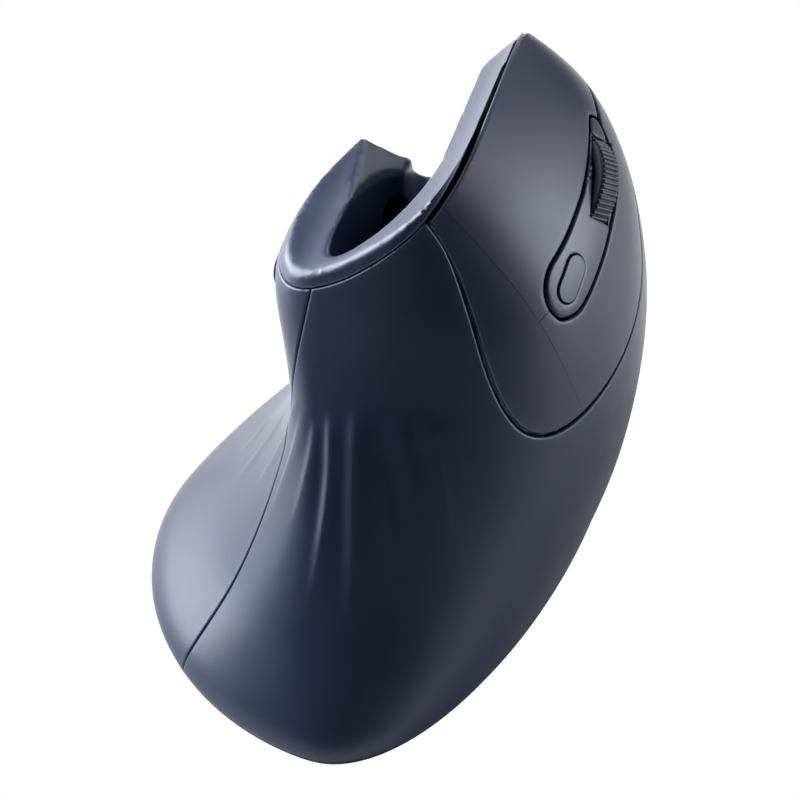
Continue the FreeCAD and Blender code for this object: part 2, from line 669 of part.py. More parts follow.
    # wheel, its tyre and the sprung carrier with the encoder
    centre = -(WHEEL_RADIUS - WHEEL_STAND)
    half = 0.5 * WHEEL_WIDTH
    axis = vec(0, 1, 0)

    def disc(radius, start, end):
        return Part.makeCylinder(radius, end - start, vec(0, start, centre), axis)

    hub = disc(WHEEL_RADIUS - 1.8, -half, half)
    hub = hub.cut(disc(WHEEL_RADIUS - 3.4, half - 1.6, half + 1))
    hub = hub.cut(disc(WHEEL_RADIUS - 3.4, -half - 1, -half + 1.6))
    hub = hub.fuse(disc(AXLE_RADIUS, -half - 1.9, half + 1.9)).fuse(disc(2.6, -half - 0.2, half + 0.2))
    nodes["wheel_hub"] = placed(hub, wheel_frame)
    tyre = disc(WHEEL_RADIUS, -half, half)
    tyre = tyre.makeFillet(0.9, [e for e in tyre.Edges if e.isClosed()])
    groove = Part.makeCylinder(0.42, WHEEL_WIDTH + 2, vec(WHEEL_RADIUS + 0.1, -half - 1, centre), axis)
    grooves = []
    for i in range(WHEEL_RIBS):
        copy = groove.copy()
        copy.rotate(vec(0, 0, centre), axis, 360.0 * i / WHEEL_RIBS)
        grooves.append(copy)
    tyre = tyre.cut(Part.makeCompound(grooves)).cut(disc(WHEEL_RADIUS - 1.8, -half - 1, half + 1))
    nodes["wheel_tyre"] = placed(tyre, wheel_frame)
    cheek_low = centre - 4.5
    carrier = block(-12.4, -11.1, -half - 1.5, half + 1.5, cheek_low + 2.2, cheek_low + 4.4)
    for y in (half + 0.3, -half - 1.5):
        cheek = rounded(block(-5, 5, y, y + 1.2, cheek_low, -3.6), axis, 2.0)
        arm = block(-12.4, -4, y, y + 1.2, cheek_low + 2.2, cheek_low + 4.4)
        carrier = carrier.fuse(cheek).fuse(arm)
    carrier = carrier.cut(disc(AXLE_RADIUS + FIT, -half - 3, half + 3))
    nodes["wheel_carrier"] = placed(carrier, wheel_frame)
    coder = block(-3.6, 3.6, -half - 1.5 - 2.4, -half - 1.5, centre - 4.2, centre + 3.6)
    coder = coder.cut(disc(AXLE_RADIUS + FIT, -half - 2.2, -half))
    nodes["wheel_encoder"] = placed(coder, wheel_frame)

    # bottom plate with the optics, the slider and the feet
    edge = skin_solid(0.5).common(slab(GLIDE_STAND, PLATE_EDGE))
    upper_plate = skin_solid(WALL + FIT).common(slab(PLATE_EDGE, PLATE_TOP))
    plate = edge.fuse(upper_plate)
    for x, y in MAIN_POSTS:
        at = spot(x, y, 0)
        plate = plate.fuse(peg(at.x, at.y, PLATE_TOP - 0.5, BOARD_LEVEL, 2.0))
    for x, y in MAIN_POSTS:
        at = spot(x, y, 0)
        plate = plate.cut(peg(at.x, at.y, BOARD_LEVEL - 3.6, BOARD_LEVEL + 1, 0.82))
    for x, y, top in bosses:
        at = spot(x, y, 0)
        plate = plate.cut(peg(at.x, at.y, 0, PLATE_TOP + 1, 1.15))
        plate = plate.cut(peg(at.x, at.y, 0, GLIDE_STAND + 1.5, 2.1))
    eye = spot(LENS_X, LENS_Y, 0)
    lens_hole = soft_block(eye.x - 5, eye.x + 5, eye.y - 4, eye.y + 4, 0, PLATE_TOP + 1, 1.5)
    plate = plate.cut(lens_hole)
    slide = spot(SLIDER_X, SLIDER_Y, 0)
    track_half = 2.6 + 0.5 * SLIDER_TRAVEL
    track = soft_block(slide.x - 2.2, slide.x + 2.2, slide.y - track_half, slide.y + track_half, 0,
                       PLATE_TOP + 1, 1.0)
    plate = plate.cut(track)
    lens = soft_block(eye.x - 5 + FIT, eye.x + 5 - FIT, eye.y - 4 + FIT, eye.y + 4 - FIT, 1.3, PLATE_TOP, 1.4)
    lens_top = PLATE_TOP + 1.0
    lens = lens.fuse(soft_block(eye.x - 7, eye.x + 7, eye.y - 6, eye.y + 6, PLATE_TOP, lens_top, 1.5))
    lens = lens.cut(peg(eye.x + 1.5, eye.y, 0, 2.6, 1.9))
    nodes["sensor_lens"] = lens
    nodes["sensor_chip"] = block(eye.x - 5.4, eye.x + 5.4, eye.y - 4.9, eye.y + 4.9, lens_top, BOARD_LEVEL)
    knob = soft_block(slide.x - 2.0, slide.x + 2.0, slide.y - 2.3, slide.y + 2.3, 0.8, PLATE_TOP + FIT, 0.8)
    flange_low = PLATE_TOP + FIT
    knob = knob.fuse(block(slide.x - 3.2, slide.x + 3.2, slide.y - 5.2, slide.y + 5.2, flange_low,
                           PLATE_TOP + 1.1))
    for i in (-1, 0, 1):
        knob = knob.cut(block(slide.x - 3, slide.x + 3, slide.y + i - 0.2, slide.y + i + 0.2, 0, 1.1))
    nodes["power_slider"] = knob
    nodes["power_switch"] = block(slide.x - 2.0, slide.x + 2.0, slide.y - 4.5, slide.y + 4.5,
                                  PLATE_TOP + 1.1 + FIT, BOARD_LEVEL)

    # main board, battery and charging socket
    corners = [spot(x, y, 0) for x, y in MAIN_BOARD]
    corners = [vec(p.x, p.y, BOARD_LEVEL) for p in corners]
    main = Part.Face(Part.makePolygon(corners + [corners[0]])).extrude(vec(0, 0, BOARD_THICK))
    for x, y in MAIN_POSTS:
        at = spot(x, y, 0)
        main = main.cut(peg(at.x, at.y, BOARD_LEVEL - 1, BOARD_LEVEL + 3, 1.0))
    nodes["main_board"] = main
    cell = soft_block(-9, 11, -39, -15, PLATE_TOP, PLATE_TOP + 6, 2.0)
    nodes["battery_cell"] = cell
    port = spot(PORT_X, 0, 0).x
    mouth = 53.6 * LONG
    top_of_board = BOARD_LEVEL + BOARD_THICK
    socket = rounded(block(port - 4.47, port + 4.47, mouth - 7.6, mouth, top_of_board, top_of_board + 3.2),
                     vec(0, 1, 0), 1.2)
    inside = rounded(block(port - 4.1, port + 4.1, mouth - 6.2, mouth + 1, top_of_board + 0.4,
                           top_of_board + 2.8), vec(0, 1, 0), 1.0)
    tongue = block(port - 3.3, port + 3.3, mouth - 7.0, mouth - 1, top_of_board + 1.25, top_of_board + 1.95)
    nodes["charging_socket"] = socket.cut(inside).fuse(tongue)
    port_room = rounded(block(port - 4.9, port + 4.9, mouth - 9, mouth + 12, top_of_board - 0.4,
                              top_of_board + 3.6), vec(0, 1, 0), 1.5)
    palm = palm.cut(port_room)
    nodes["radio_chip"] = block(-4, 4, 18, 26, top_of_board, top_of_board + 1.2)

    # screws from below and on the boards
    screws = []
    for x, y, top in bosses:
        at = spot(x, y, 0)
        head = peg(at.x, at.y, GLIDE_STAND + 0.3, GLIDE_STAND + 1.5, 1.9)
        head = head.cut(block(at.x - 1.2, at.x + 1.2, at.y - 0.25, at.y + 0.25, 0, GLIDE_STAND + 0.9))
        head = head.cut(block(at.x - 0.25, at.x + 0.25, at.y - 1.2, at.y + 1.2, 0, GLIDE_STAND + 0.9))
        screws.append(head.fuse(peg(at.x, at.y, GLIDE_STAND + 1.4, 8.6, 0.93)))
    nodes["base_screws"] = Part.makeCompound(screws)
    screws = []
    for x, y in MAIN_POSTS:
        at = spot(x, y, 0)
        head = peg(at.x, at.y, top_of_board, top_of_board + 1.1, 1.7)
        slot_low = top_of_board + 0.6
        head = head.cut(block(at.x - 1.1, at.x + 1.1, at.y - 0.2, at.y + 0.2, slot_low, slot_low + 2))
        screws.append(head.fuse(peg(at.x, at.y, BOARD_LEVEL - 3.2, top_of_board + 0.1, 0.8)))
    nodes["board_screws"] = Part.makeCompound(screws)
    screws = []
    for x, y in BOARD_POSTS:
        below = -BOARD_DEPTH - BOARD_THICK
        head = peg(x, y, below - 1.0, below, 1.5)
        head = head.cut(block(x - 1, x + 1, y - 0.2, y + 0.2, below - 2, below - 0.5))
        screws.append(placed(head.fuse(peg(x, y, below - 0.1, -BOARD_DEPTH + 4, 0.7)), board_frame))
    nodes["finger_screws"] = Part.makeCompound(screws)

    # feet
    rim_foot = skin_solid(2.2).common(slab(0, GLIDE_STAND)).cut(skin_solid(7.5).common(slab(-1, 2)))
    front_foot = rim_foot.common(block(-60, 60, 43 * LONG, 90, -1, 2))
    rear_foot = rim_foot.common(block(-60, 60, -90, -43 * LONG, -1, 2))
    nodes["front_glide"] = front_foot
    nodes["rear_glide"] = rear_foot
    ring = soft_block(eye.x - 8.5, eye.x + 8.5, eye.y - 7.5, eye.y + 7.5, 0, GLIDE_STAND, 4)
    ring_hole = soft_block(eye.x - 5.6, eye.x + 5.6, eye.y - 4.6, eye.y + 4.6, -1, 2, 1.8)
    nodes["sensor_glide"] = ring.cut(ring_hole)

    # thumb keys with a flange behind the wall
    proud = skin_solid(-SIDE_KEY_STAND)
    behind_wall = skin_solid(WALL + FIT)
    flange_end = skin_solid(WALL + KEY_FLANGE)
    recess_limit = oval_post(2.8 + 1.8, 2.5 + 1.8, 44, 63)
    recess_limit.translate(recess_at)
    key_limit = pocket_solid(TUB_WALL + 0.7).fuse(recess_limit).fuse(scoop_solid(0.8))
    for name, y0, y1, z0, z1 in THUMB_KEYS:
        y0 = y0 * LONG
        y1 = y1 * LONG
        z0 = z0 * TALL
        z1 = z1 * TALL
        near = -11.5 * BROAD
        hole = block(-40, near, y0 - KEY_GAP, y1 + KEY_GAP, z0 - KEY_GAP, z1 + KEY_GAP)
        hole = rounded(hole, vec(1, 0, 0), 2.0)
        form = rounded(block(-40, near, y0, y1, z0, z1), vec(1, 0, 0), 1.8)
        wide = block(-40, near, y0 - (0.35 if name == "forward" else 0.9), y1 + 0.35, z0 - 0.9, z1 + 0.3)
        cap = proud.common(form).cut(flange_end)
        flange = behind_wall.common(wide).cut(flange_end)
        nodes[name + "_key"] = cap.fuse(flange).cut(key_limit)
        thumb = thumb.cut(hole)

    # small upright board for the thumb keys, carried by the pocket wall
    thumb_out = vec(-1, THUMB_TURN, -THUMB_LEAN)
    thumb_out.normalize()
    thumb_frame = frame_on(spot(left_reach(57), 2, 57), vec(0, 1, 0), thumb_out)
    top = -WALL - KEY_FLANGE - KEY_TRAVEL - 1.2
    for name, y, high in (("back", -5.4, top - 0.25), ("forward", 4.6, top)):
        switch = soft_block(y - 2.2, y + 2.2, -2.2, 2.2, top - 1.5, high, 0.4)
        nodes[name + "_switch"] = placed(switch, thumb_frame)
    small = soft_block(-9.0, 7.4, -3.0, 3.0, top - 1.5 - 0.8, top - 1.5, 0.6)
    nodes["thumb_board"] = placed(small, thumb_frame)
    for y in (-4.4, 2.6):
        pin = placed(peg(y, 0, top - 6.5, top - 1.5 - 0.8, 1.1), thumb_frame)
        saddle = saddle.fuse(pin)
    nodes["rim_saddle"] = saddle.cut(opening)

    # flat cable from the main board up to the inclined board
    low = top_of_board + 0.2
    path = [vec(13, 9, low), vec(15, 9, low), vec(18, 9, low + 0.5), vec(22.5 * BROAD, 9, 12.5),
            vec(26.5 * BROAD, 9, 21), vec(27.6 * BROAD, 9, 31),
            board_frame.multVec(vec(-4, -14.8, -BOARD_DEPTH - BOARD_THICK - 4.2)),
            board_frame.multVec(vec(-4, -11.2, -BOARD_DEPTH - BOARD_THICK - 1.8)),
            board_frame.multVec(vec(-4, -8.2, -BOARD_DEPTH - BOARD_THICK - 0.9))]
    path = [vec(p.x, 9, p.z) for p in path]
    line = Part.BSplineCurve()
    line.interpolate(path)
    nodes["flex_cable"] = flat_strap(line, 0.12, 5, 13)

    # ribs on the bottom plate around the battery
    for x0, x1, y0, y1 in ((-10.3, -9.2, -36, -18), (11.2, 12.3, -36, -18), (-6, 8, -14.8, -13.7)):
        plate = plate.fuse(block(x0, x1, y0, y1, PLATE_TOP - 0.5, PLATE_TOP + 3.5))
    nodes["base_plate"] = plate
    nodes["palm_shell"] = palm
    nodes["thumb_shell"] = thumb
    for name, shape in nodes.items():
        keep(shape, name)


def flat_strap(line, half, y0, y1):
    # strap along a curve that lies upright, of even thickness and width
    first = line.FirstParameter
    step = (line.LastParameter - first) / 40
    sides = []
    for way in (-half, half):
        points = []
        for i in range(41):
            at = line.value(first + i * step)
            ahead = line.tangent(first + i * step)[0]
            points.append(vec(at.x - way * ahead.z, y0, at.z + way * ahead.x))
        side = Part.BSplineCurve()
        side.interpolate(points)
        sides.append(side.toShape())
    ends = [Part.makeLine(sides[0].valueAt(e[0]), sides[1].valueAt(e[1])) for e in
            ((sides[0].FirstParameter, sides[1].FirstParameter), (sides[0].LastParameter, sides[1].LastParameter))]
    outline = Part.Wire(Part.__sortEdges__([sides[0], ends[1], sides[1], ends[0]]))
    return Part.Face(outline).extrude(vec(0, y1 - y0, 0))


def board_plate():
    plate = soft_block(-20, 21, -14, 14, -BOARD_DEPTH - BOARD_THICK, -BOARD_DEPTH, 1.5)
    for x, y in BOARD_POSTS:
        plate = plate.cut(peg(x, y, -BOARD_DEPTH - 3, -BOARD_DEPTH + 1, 0.9))
    return plate


def board_slot(wheel_frame, board_frame):
    slot = block(-12.9, 30, -0.5 * WHEEL_WIDTH - 2.0, 0.5 * WHEEL_WIDTH + 2.0, -40, 10)
    slot = slot.fuse(block(-4.2, 30, -0.5 * WHEEL_WIDTH - 4.4, 0, -40, 10))
    return placed(placed(slot, wheel_frame), board_frame.inverse())


os.makedirs("parts", exist_ok=True)
build()
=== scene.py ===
import json
import math
import bpy
import numpy as np
from mathutils import Matrix, Vector
from mathutils.kdtree import KDTree


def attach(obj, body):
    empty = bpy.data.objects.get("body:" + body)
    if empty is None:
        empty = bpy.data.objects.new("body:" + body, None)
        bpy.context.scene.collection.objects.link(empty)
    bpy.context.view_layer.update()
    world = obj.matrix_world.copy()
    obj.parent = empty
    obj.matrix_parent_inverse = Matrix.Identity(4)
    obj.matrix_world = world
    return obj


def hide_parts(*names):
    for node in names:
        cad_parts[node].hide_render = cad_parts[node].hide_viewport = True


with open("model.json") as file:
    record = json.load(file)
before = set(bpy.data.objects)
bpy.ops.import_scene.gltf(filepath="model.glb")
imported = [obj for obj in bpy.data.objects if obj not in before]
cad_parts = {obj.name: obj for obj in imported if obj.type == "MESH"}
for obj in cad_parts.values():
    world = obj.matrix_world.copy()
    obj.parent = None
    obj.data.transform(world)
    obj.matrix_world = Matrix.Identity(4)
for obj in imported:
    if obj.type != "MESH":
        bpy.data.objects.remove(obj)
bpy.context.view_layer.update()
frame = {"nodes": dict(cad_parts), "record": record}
nodes = frame["nodes"]

# reach of the outer skin from the middle of the base, against height, in millimetres
LEFT = [(0, -36.8), (3, -36.4), (8, -31.5), (14, -25.5), (22, -20), (32, -15.5), (42, -14),
        (52, -16.3), (59, -19), (62, -19.6), (66, -17.5), (70, -17.2), (92, -17)]
RIGHT = [(0, 32.5), (3, 33), (10, 34.8), (20, 36.2), (30, 36.4), (40, 35.2), (50, 32.6),
         (60, 28.6), (68, 23.3), (74, 18.2), (80, 12), (84, 7.5), (92, -3)]
REAR = [(0, -58.4), (3, -58.2), (8, -54.5), (16, -47.5), (26, -39.5), (36, -32), (46, -25),
        (56, -19), (62, -16), (72, -11), (92, -3)]
FRONT = [(0, 58), (3, 57.8), (10, 55), (20, 51), (30, 48), (40, 46), (50, 44.5), (60, 43.5),
         (68, 42.6), (74, 40.8), (80, 38), (84, 36.2), (92, 32)]
# where the widest and the longest place of each level lie, against height
LEFT_Y = [(0, -17), (20, -10), (40, -3), (56, -3), (65, 3), (80, 4), (92, 4)]
RIGHT_Y = [(0, 2), (20, 6), (40, 14), (60, 22), (80, 24), (92, 24)]
REAR_X = [(0, 7), (10, 4), (20, 1), (40, -3), (60, -8), (92, -8)]
FRONT_X = [(0, 2), (20, 4), (40, 8), (60, 8), (74, 8), (80, 5.5), (84, 2), (92, -10)]
# how square each corner of a level is, against height: 2 makes an ellipse
REAR_RIGHT = [(0, 2.0), (20, 2.0), (40, 2.05), (60, 2.4), (92, 2.4)]
FRONT_RIGHT = [(0, 2.05), (20, 2.1), (40, 2.3), (60, 2.6), (74, 3.2), (92, 3.2)]
FRONT_LEFT = [(0, 1.42), (6, 1.42), (20, 1.5), (40, 1.7), (60, 1.65), (67, 1.8), (80, 1.6),
              (92, 1.6)]
REAR_LEFT = [(0, 1.97), (20, 1.97), (40, 2.05), (60, 2.6), (92, 2.6)]
# heights of the rings of control points, and how many points each ring has
LEVELS = [0, 1.5, 4, 7, 11, 15, 20, 25, 31, 37, 43, 49, 54, 58, 61.5, 64.5, 67.5, 71, 74.5, 78,
          81, 84, 87]
AROUND = 40
# how finely the skin is drawn up and round, and the table of radii that is read from it
UP_SAMPLES = 721
AROUND_STEP = 0.05
TURNS = 1440
ROWS = 861
ROWS_PER_MM = 10
SLOPE_STEP = 0.06

# soft folds below the rim: height, reach to the left and to the right of the crest, and points of
# the crest from its upper end down, all in millimetres
FOLDS = [
    (0.23, 1.8, 0.8, [
        (-21.5, -5.9, 19.0), (-23.0, -9.4, 17.1), (-25.5, -11.6, 14.0)]),
    (0.26, 1.8, 0.8, [
        (-15.8, -12.6, 30.4), (-18.3, -15.2, 24.4), (-20.8, -18.2, 19.6), (-23.4, -20.6, 15.6)]),
    (0.29, 1.9, 0.8, [
        (-8.2, -23.2, 47.7), (-10.4, -22.9, 40.3), (-13.3, -22.1, 31.5), (-15.1, -24.5, 26.1),
        (-17.4, -26.3, 21.5)]),
    (0.31, 2.0, 0.8, [
        (-7.3, -24.1, 46.6), (-7.5, -26.3, 41.7), (-8.7, -28.3, 35.2), (-9.9, -31.4, 29.1),
        (-11.1, -33.7, 24.8)]),
    (0.41, 2.2, 0.8, [
        (-5.2, -24.6, 46.6), (-4.3, -26.6, 43.4), (-4.3, -29.8, 38.7), (-4.7, -33.3, 33.1),
        (-5.6, -36.5, 27.9)]),
    (0.80, 3.2, 0.9, [
        (-2.9, -23.3, 48.4), (-1.0, -28.0, 41.4), (0.0, -31.8, 36.0), (0.6, -36.1, 30.2),
        (1.1, -40.7, 24.2), (0.7, -44.6, 19.4)]),
    (0.72, 2.8, 1.3, [
        (1.1, -22.0, 49.9), (2.3, -25.5, 44.4), (4.2, -31.0, 36.3), (6.0, -35.7, 29.7),
        (7.5, -40.6, 23.1), (8.0, -44.8, 17.9)]),
    (0.25, 1.3, 2.6, [
        (6.4, -25.8, 42.8), (7.9, -27.8, 39.4), (9.6, -30.2, 35.4), (11.4, -32.6, 31.3),
        (13.2, -36.1, 25.8)]),
    (0.35, 1.3, 3.0, [
        (7.9, -20.9, 49.2), (9.3, -22.6, 46.0), (11.9, -25.9, 39.9), (15.9, -30.8, 30.5),
        (19.2, -34.0, 23.6)]),
    (0.31, 1.3, 3.0, [
        (11.7, -19.5, 49.3), (13.3, -20.9, 45.9), (16.1, -23.9, 39.5), (18.8, -26.8, 33.1),
        (22.7, -29.7, 24.7)]),
    (0.22, 1.3, 2.8, [
        (14.2, -18.8, 48.4), (16.3, -20.1, 44.6), (19.7, -22.4, 38.0), (23.1, -23.4, 32.5)]),
]
# the folds lie between these heights and fade over these shares of their length at each end
FOLD_FOOT, FOLD_TOP = 8, 56
FADE_ABOVE, FADE_BELOW = 0.18, 0.6

# millimetres and metres, and the grid on which points of the CAD count as equal
MM, MM_PER_M = 0.001, 1000
GRID_PER_MM = 5000

# direction across the finger panel, from its upper to its lower edge, as shares of x and -z
PANEL_X, PANEL_Z = 0.6, 0.8
# seams without a line: where the buttons bend and where the split between them starts, how near
# to each a place lies that belongs to it, and half the gap that the bend keeps
HINGE_Y, HINGE_LEFT, HINGE_NEAR, HINGE_GAP = -1.925, 5, 0.12, 0.012
SPLIT_ACROSS, SPLIT_NEAR, SPLIT_REAR, SPLIT_FRONT = 31.4, 0.1, -2.1, 1.1

# outer skin of a shell: how far in and out its points lie, and how squarely its faces look outwards
SKIN_IN, SKIN_OUT, SKIN_FACING = -0.3, 1.4, 0.6
# longest edge on a fold, on a plain shell and on the saddle, and the height that counts as a fold
FOLD_CELL, SHELL_CELL, SADDLE_CELL, FOLDED = 0.55, 1.25, 0.75, 0.01
# rows of points across a rounded edge, as shares of its radius, and the share of a row's distance
# at which a point already counts as lying on it
EDGE_ROWS = (0.076, 0.293, 0.617, 1.0)
ON_ROW = 0.01
# step between the measured places of a rim, and the distance that places off the skin are given
RIM_STEP, FAR_AWAY = 0.25, 99.0
# most rounds in which long edges are split, how far wear reaches from an edge, and the angle up to
# which faces are shaded as one surface
SPLIT_ROUNDS = 14
WEAR_REACH = 0.5
SMOOTH_ANGLE = math.radians(38)

# the saddle is evened from this far off its seam, fully so after the second distance, and each
# round moves a point by this share of its way
SADDLE = "rim_saddle"
SADDLE_KEPT, SADDLE_FADE, SADDLE_ROUNDS = 0.8, 1.5, 9
EVEN_SHARE = 0.5

# outer pieces that get a dressed mesh, and the radius of their edges in millimetres
DRESSED = [("palm_shell", 0.4), ("thumb_shell", 0.4), ("button_cover", 0.45), ("left_button", 0.4),
           ("right_button", 0.4), ("centre_strip", 0.3), (SADDLE, 0.35)]


def follow(points, at):
    """smooth value of a table at each place"""
    x, y = np.array(points, float).T
    step = np.diff(x)
    rise = np.diff(y) / step
    slope = np.empty(len(x))
    slope[0], slope[-1] = rise[0], rise[-1]
    slope[1:-1] = (rise[:-1] * step[1:] + rise[1:] * step[:-1]) / (step[1:] + step[:-1])
    at = np.clip(at, x[0], x[-1])
    i = np.clip(np.searchsorted(x, at) - 1, 0, len(x) - 2)
    s = (at - x[i]) / step[i]
    near = (2 * s ** 3 - 3 * s ** 2 + 1) * y[i] + (s ** 3 - 2 * s ** 2 + s) * step[i] * slope[i]
    far = (3 * s ** 2 - 2 * s ** 3) * y[i + 1] + (s ** 3 - s ** 2) * step[i] * slope[i + 1]
    return near + far


def skin_net():
    """control points of the outer skin: one ring of them for each level"""
    angle = np.radians(360 / AROUND * np.arange(AROUND))[:, None]
    level = np.array(LEVELS, float)[None, :]
    c, s = np.cos(angle), np.sin(angle)
    front = s >= 0
    middle_x = np.where(front, follow(FRONT_X, level), follow(REAR_X, level))
    middle_y = np.where(c >= 0, follow(RIGHT_Y, level), follow(LEFT_Y, level))
    half_x = np.where(c >= 0, follow(RIGHT, level) - middle_x, middle_x - follow(LEFT, level))
    half_y = np.where(front, follow(FRONT, level) - middle_y, middle_y - follow(REAR, level))
    right = np.where(front, follow(FRONT_RIGHT, level), follow(REAR_RIGHT, level))
    left = np.where(front, follow(FRONT_LEFT, level), follow(REAR_LEFT, level))
    power = np.where(c >= 0, right, left)
    x = middle_x + half_x * np.sign(c) * np.abs(c) ** (2 / power)
    y = middle_y + half_y * np.sign(s) * np.abs(s) ** (2 / power)
    return np.stack([x, y, level + 0 * x], axis=2)


def clamped_weights(count, at):
    """weights of the control points along the height"""
    knots = np.concatenate([[0] * 3, np.arange(count - 2), [count - 3] * 3]).astype(float)
    at = np.minimum(at, count - 3 - 1e-9)[:, None]
    weight = ((at >= knots[:-1]) & (at < knots[1:])).astype(float)
    for degree in (1, 2, 3):
        low = knots[degree:-1] - knots[:-degree - 1]
        high = knots[degree + 1:] - knots[1:-degree]
        a = np.where(low > 0, (at - knots[:-degree - 1]) / np.where(low > 0, low, 1), 0)
        b = np.where(high > 0, (knots[degree + 1:] - at) / np.where(high > 0, high, 1), 0)
        weight = a * weight[:, :-1] + b * weight[:, 1:]
    return weight


def round_weights(count, at):
    """weights of the control points round the skin"""
    first = np.floor(at).astype(int)
    f = at - first
    weight = np.zeros((len(at), count))
    for shift, value in ((-1, (1 - f) ** 3), (0, 3 * f ** 3 - 6 * f ** 2 + 4),
                         (1, -3 * f ** 3 + 3 * f ** 2 + 3 * f + 1), (2, f ** 3)):
        weight[np.arange(len(at)), (first + shift) % count] += value / 6
    return weight


def skin_table():
    """middle line and radius of the skin, for each row of the table and each turn"""
    down = clamped_weights(len(LEVELS), np.linspace(0, len(LEVELS) - 3, UP_SAMPLES))
    across = round_weights(AROUND, np.arange(0, AROUND, AROUND_STEP))
    grid = np.einsum("ua,alc,vl->vuc", across, skin_net(), down)
    middle = 0.5 * (grid.min(axis=1) + grid.max(axis=1))[:, :2]
    want = np.linspace(-math.pi, math.pi, TURNS + 1)
    radius = np.empty((len(grid), TURNS + 1))
    for i, ring in enumerate(grid):
        away = ring[:, :2] - middle[i]
        turn = np.arctan2(away[:, 1], away[:, 0])
        order = np.argsort(turn)
        radius[i] = np.interp(want, turn[order], np.hypot(*away.T)[order], period=2 * math.pi)
    height = grid[:, 0, 2]
    level = np.linspace(0, (ROWS - 1) / ROWS_PER_MM, ROWS)
    i = np.clip(np.searchsorted(height, level) - 1, 0, len(height) - 2)
    f = ((level - height[i]) / (height[i + 1] - height[i]))[:, None]
    return (1 - f) * middle[i] + f * middle[i + 1], (1 - f) * radius[i] + f * radius[i + 1]


MIDDLE, RADIUS = skin_table()


def beyond_skin(p):
    """how far each point lies outside the plain skin, measured level"""
    row = np.clip(p[:, 2] * ROWS_PER_MM, 0, ROWS - 1.001)
    i = row.astype(int)
    f = row - i
    middle = MIDDLE[i] + f[:, None] * (MIDDLE[i + 1] - MIDDLE[i])
    away = p[:, :2] - middle
    turn = (np.arctan2(away[:, 1], away[:, 0]) + math.pi) * TURNS / (2 * math.pi)
    j = np.clip(turn.astype(int), 0, TURNS - 1)
    g = turn - j
    low = RADIUS[i, j] + g * (RADIUS[i, j + 1] - RADIUS[i, j])
    high = RADIUS[i + 1, j] + g * (RADIUS[i + 1, j + 1] - RADIUS[i + 1, j])
    return np.hypot(*away.T) - low - f * (high - low)


def skin_slope(p):
    """how the distance from the skin grows along each axis"""
    slope = np.empty_like(p)
    for axis in range(3):
        step = np.zeros(3)
        step[axis] = SLOPE_STEP
        slope[:, axis] = (beyond_skin(p + step) - beyond_skin(p - step)) / (2 * SLOPE_STEP)
    return slope


def on_skin(p):
    """each point moved square onto the plain skin, and the outward direction there"""
    for _ in range(2):
        slope = skin_slope(p)
        p = p - (beyond_skin(p) / (slope ** 2).sum(axis=1))[:, None] * slope
    return p, slope / np.linalg.norm(slope, axis=1)[:, None]


def crest_of(points):
    """a fold's crest with its corners cut twice, and how far along it each point lies"""
    line = np.array(points)
    for _ in range(2):
        early = 0.75 * line[:-1] + 0.25 * line[1:]
        late = 0.25 * line[:-1] + 0.75 * line[1:]
        inner = np.stack([early, late], 1)
        line = np.concatenate([line[:1], inner.reshape(-1, 3), line[-1:]])
    along = np.concatenate([[0], np.cumsum(np.linalg.norm(np.diff(line, axis=0), axis=1))])
    return line, along / along[-1]


CRESTS = [(high, left, right, *crest_of(points)) for high, left, right, points in FOLDS]


def pleat(p):
    """height of the folds at each point of the skin"""
    total = np.zeros(len(p))
    near = np.flatnonzero((p[:, 1] < 0) & (p[:, 2] < FOLD_TOP) & (p[:, 2] > FOLD_FOOT))
    if not len(near):
        return total
    spot = p[near]
    slope = skin_slope(spot)
    for high, left, right, line, along in CRESTS:
        best = np.full(len(spot), np.inf)
        side = np.zeros(len(spot))
        share = np.zeros(len(spot))
        for a, b, start, end in zip(line[:-1], line[1:], along[:-1], along[1:]):
            run = b - a
            t = np.clip((spot - a) @ run / (run @ run), 0, 1)
            off = spot - a - t[:, None] * run
            away = (off ** 2).sum(axis=1)
            closer = away < best
            best[closer] = away[closer]
            turn = (np.cross(slope[closer], run) * off[closer]).sum(axis=1)
            side[closer] = np.sign(turn)
            share[closer] = start + t[closer] * (end - start)
        reach = np.where(side > 0, left, right)
        fade = np.clip(share / FADE_ABOVE, 0, 1) * np.clip((1 - share) / FADE_BELOW, 0, 1)
        fade = fade * fade * (3 - 2 * fade)
        total[near] += high * fade * np.exp(-best / reach ** 2)
    return total


def cad_mesh(name):
    """points in millimetres and triangles of a CAD node, with equal points joined"""
    mesh = nodes[name].data
    mesh.calc_loop_triangles()
    points = np.empty(3 * len(mesh.vertices), np.float32)
    mesh.vertices.foreach_get("co", points)
    faces = np.empty(3 * len(mesh.loop_triangles), np.int32)
    mesh.loop_triangles.foreach_get("vertices", faces)
    points = points.reshape(-1, 3).astype(float) * MM_PER_M
    key = np.round(points * GRID_PER_MM).astype(np.int64)
    _, first, back = np.unique(key, axis=0, return_index=True, return_inverse=True)
    faces = back.reshape(-1)[faces].reshape(-1, 3)
    return points[first], faces[(np.diff(np.sort(faces, axis=1), axis=1) > 0).all(axis=1)]


def edges_of(faces, count):
    """the edges, as sorted pairs, and for each face the places of its three edges among them"""
    pairs = np.sort(np.stack([faces, np.roll(faces, -1, axis=1)], axis=2), axis=2).reshape(-1, 2)
    key = pairs[:, 0] * count + pairs[:, 1]
    found, back = np.unique(key, return_inverse=True)
    return np.stack([found // count, found % count], axis=1), back.reshape(-1, 3)


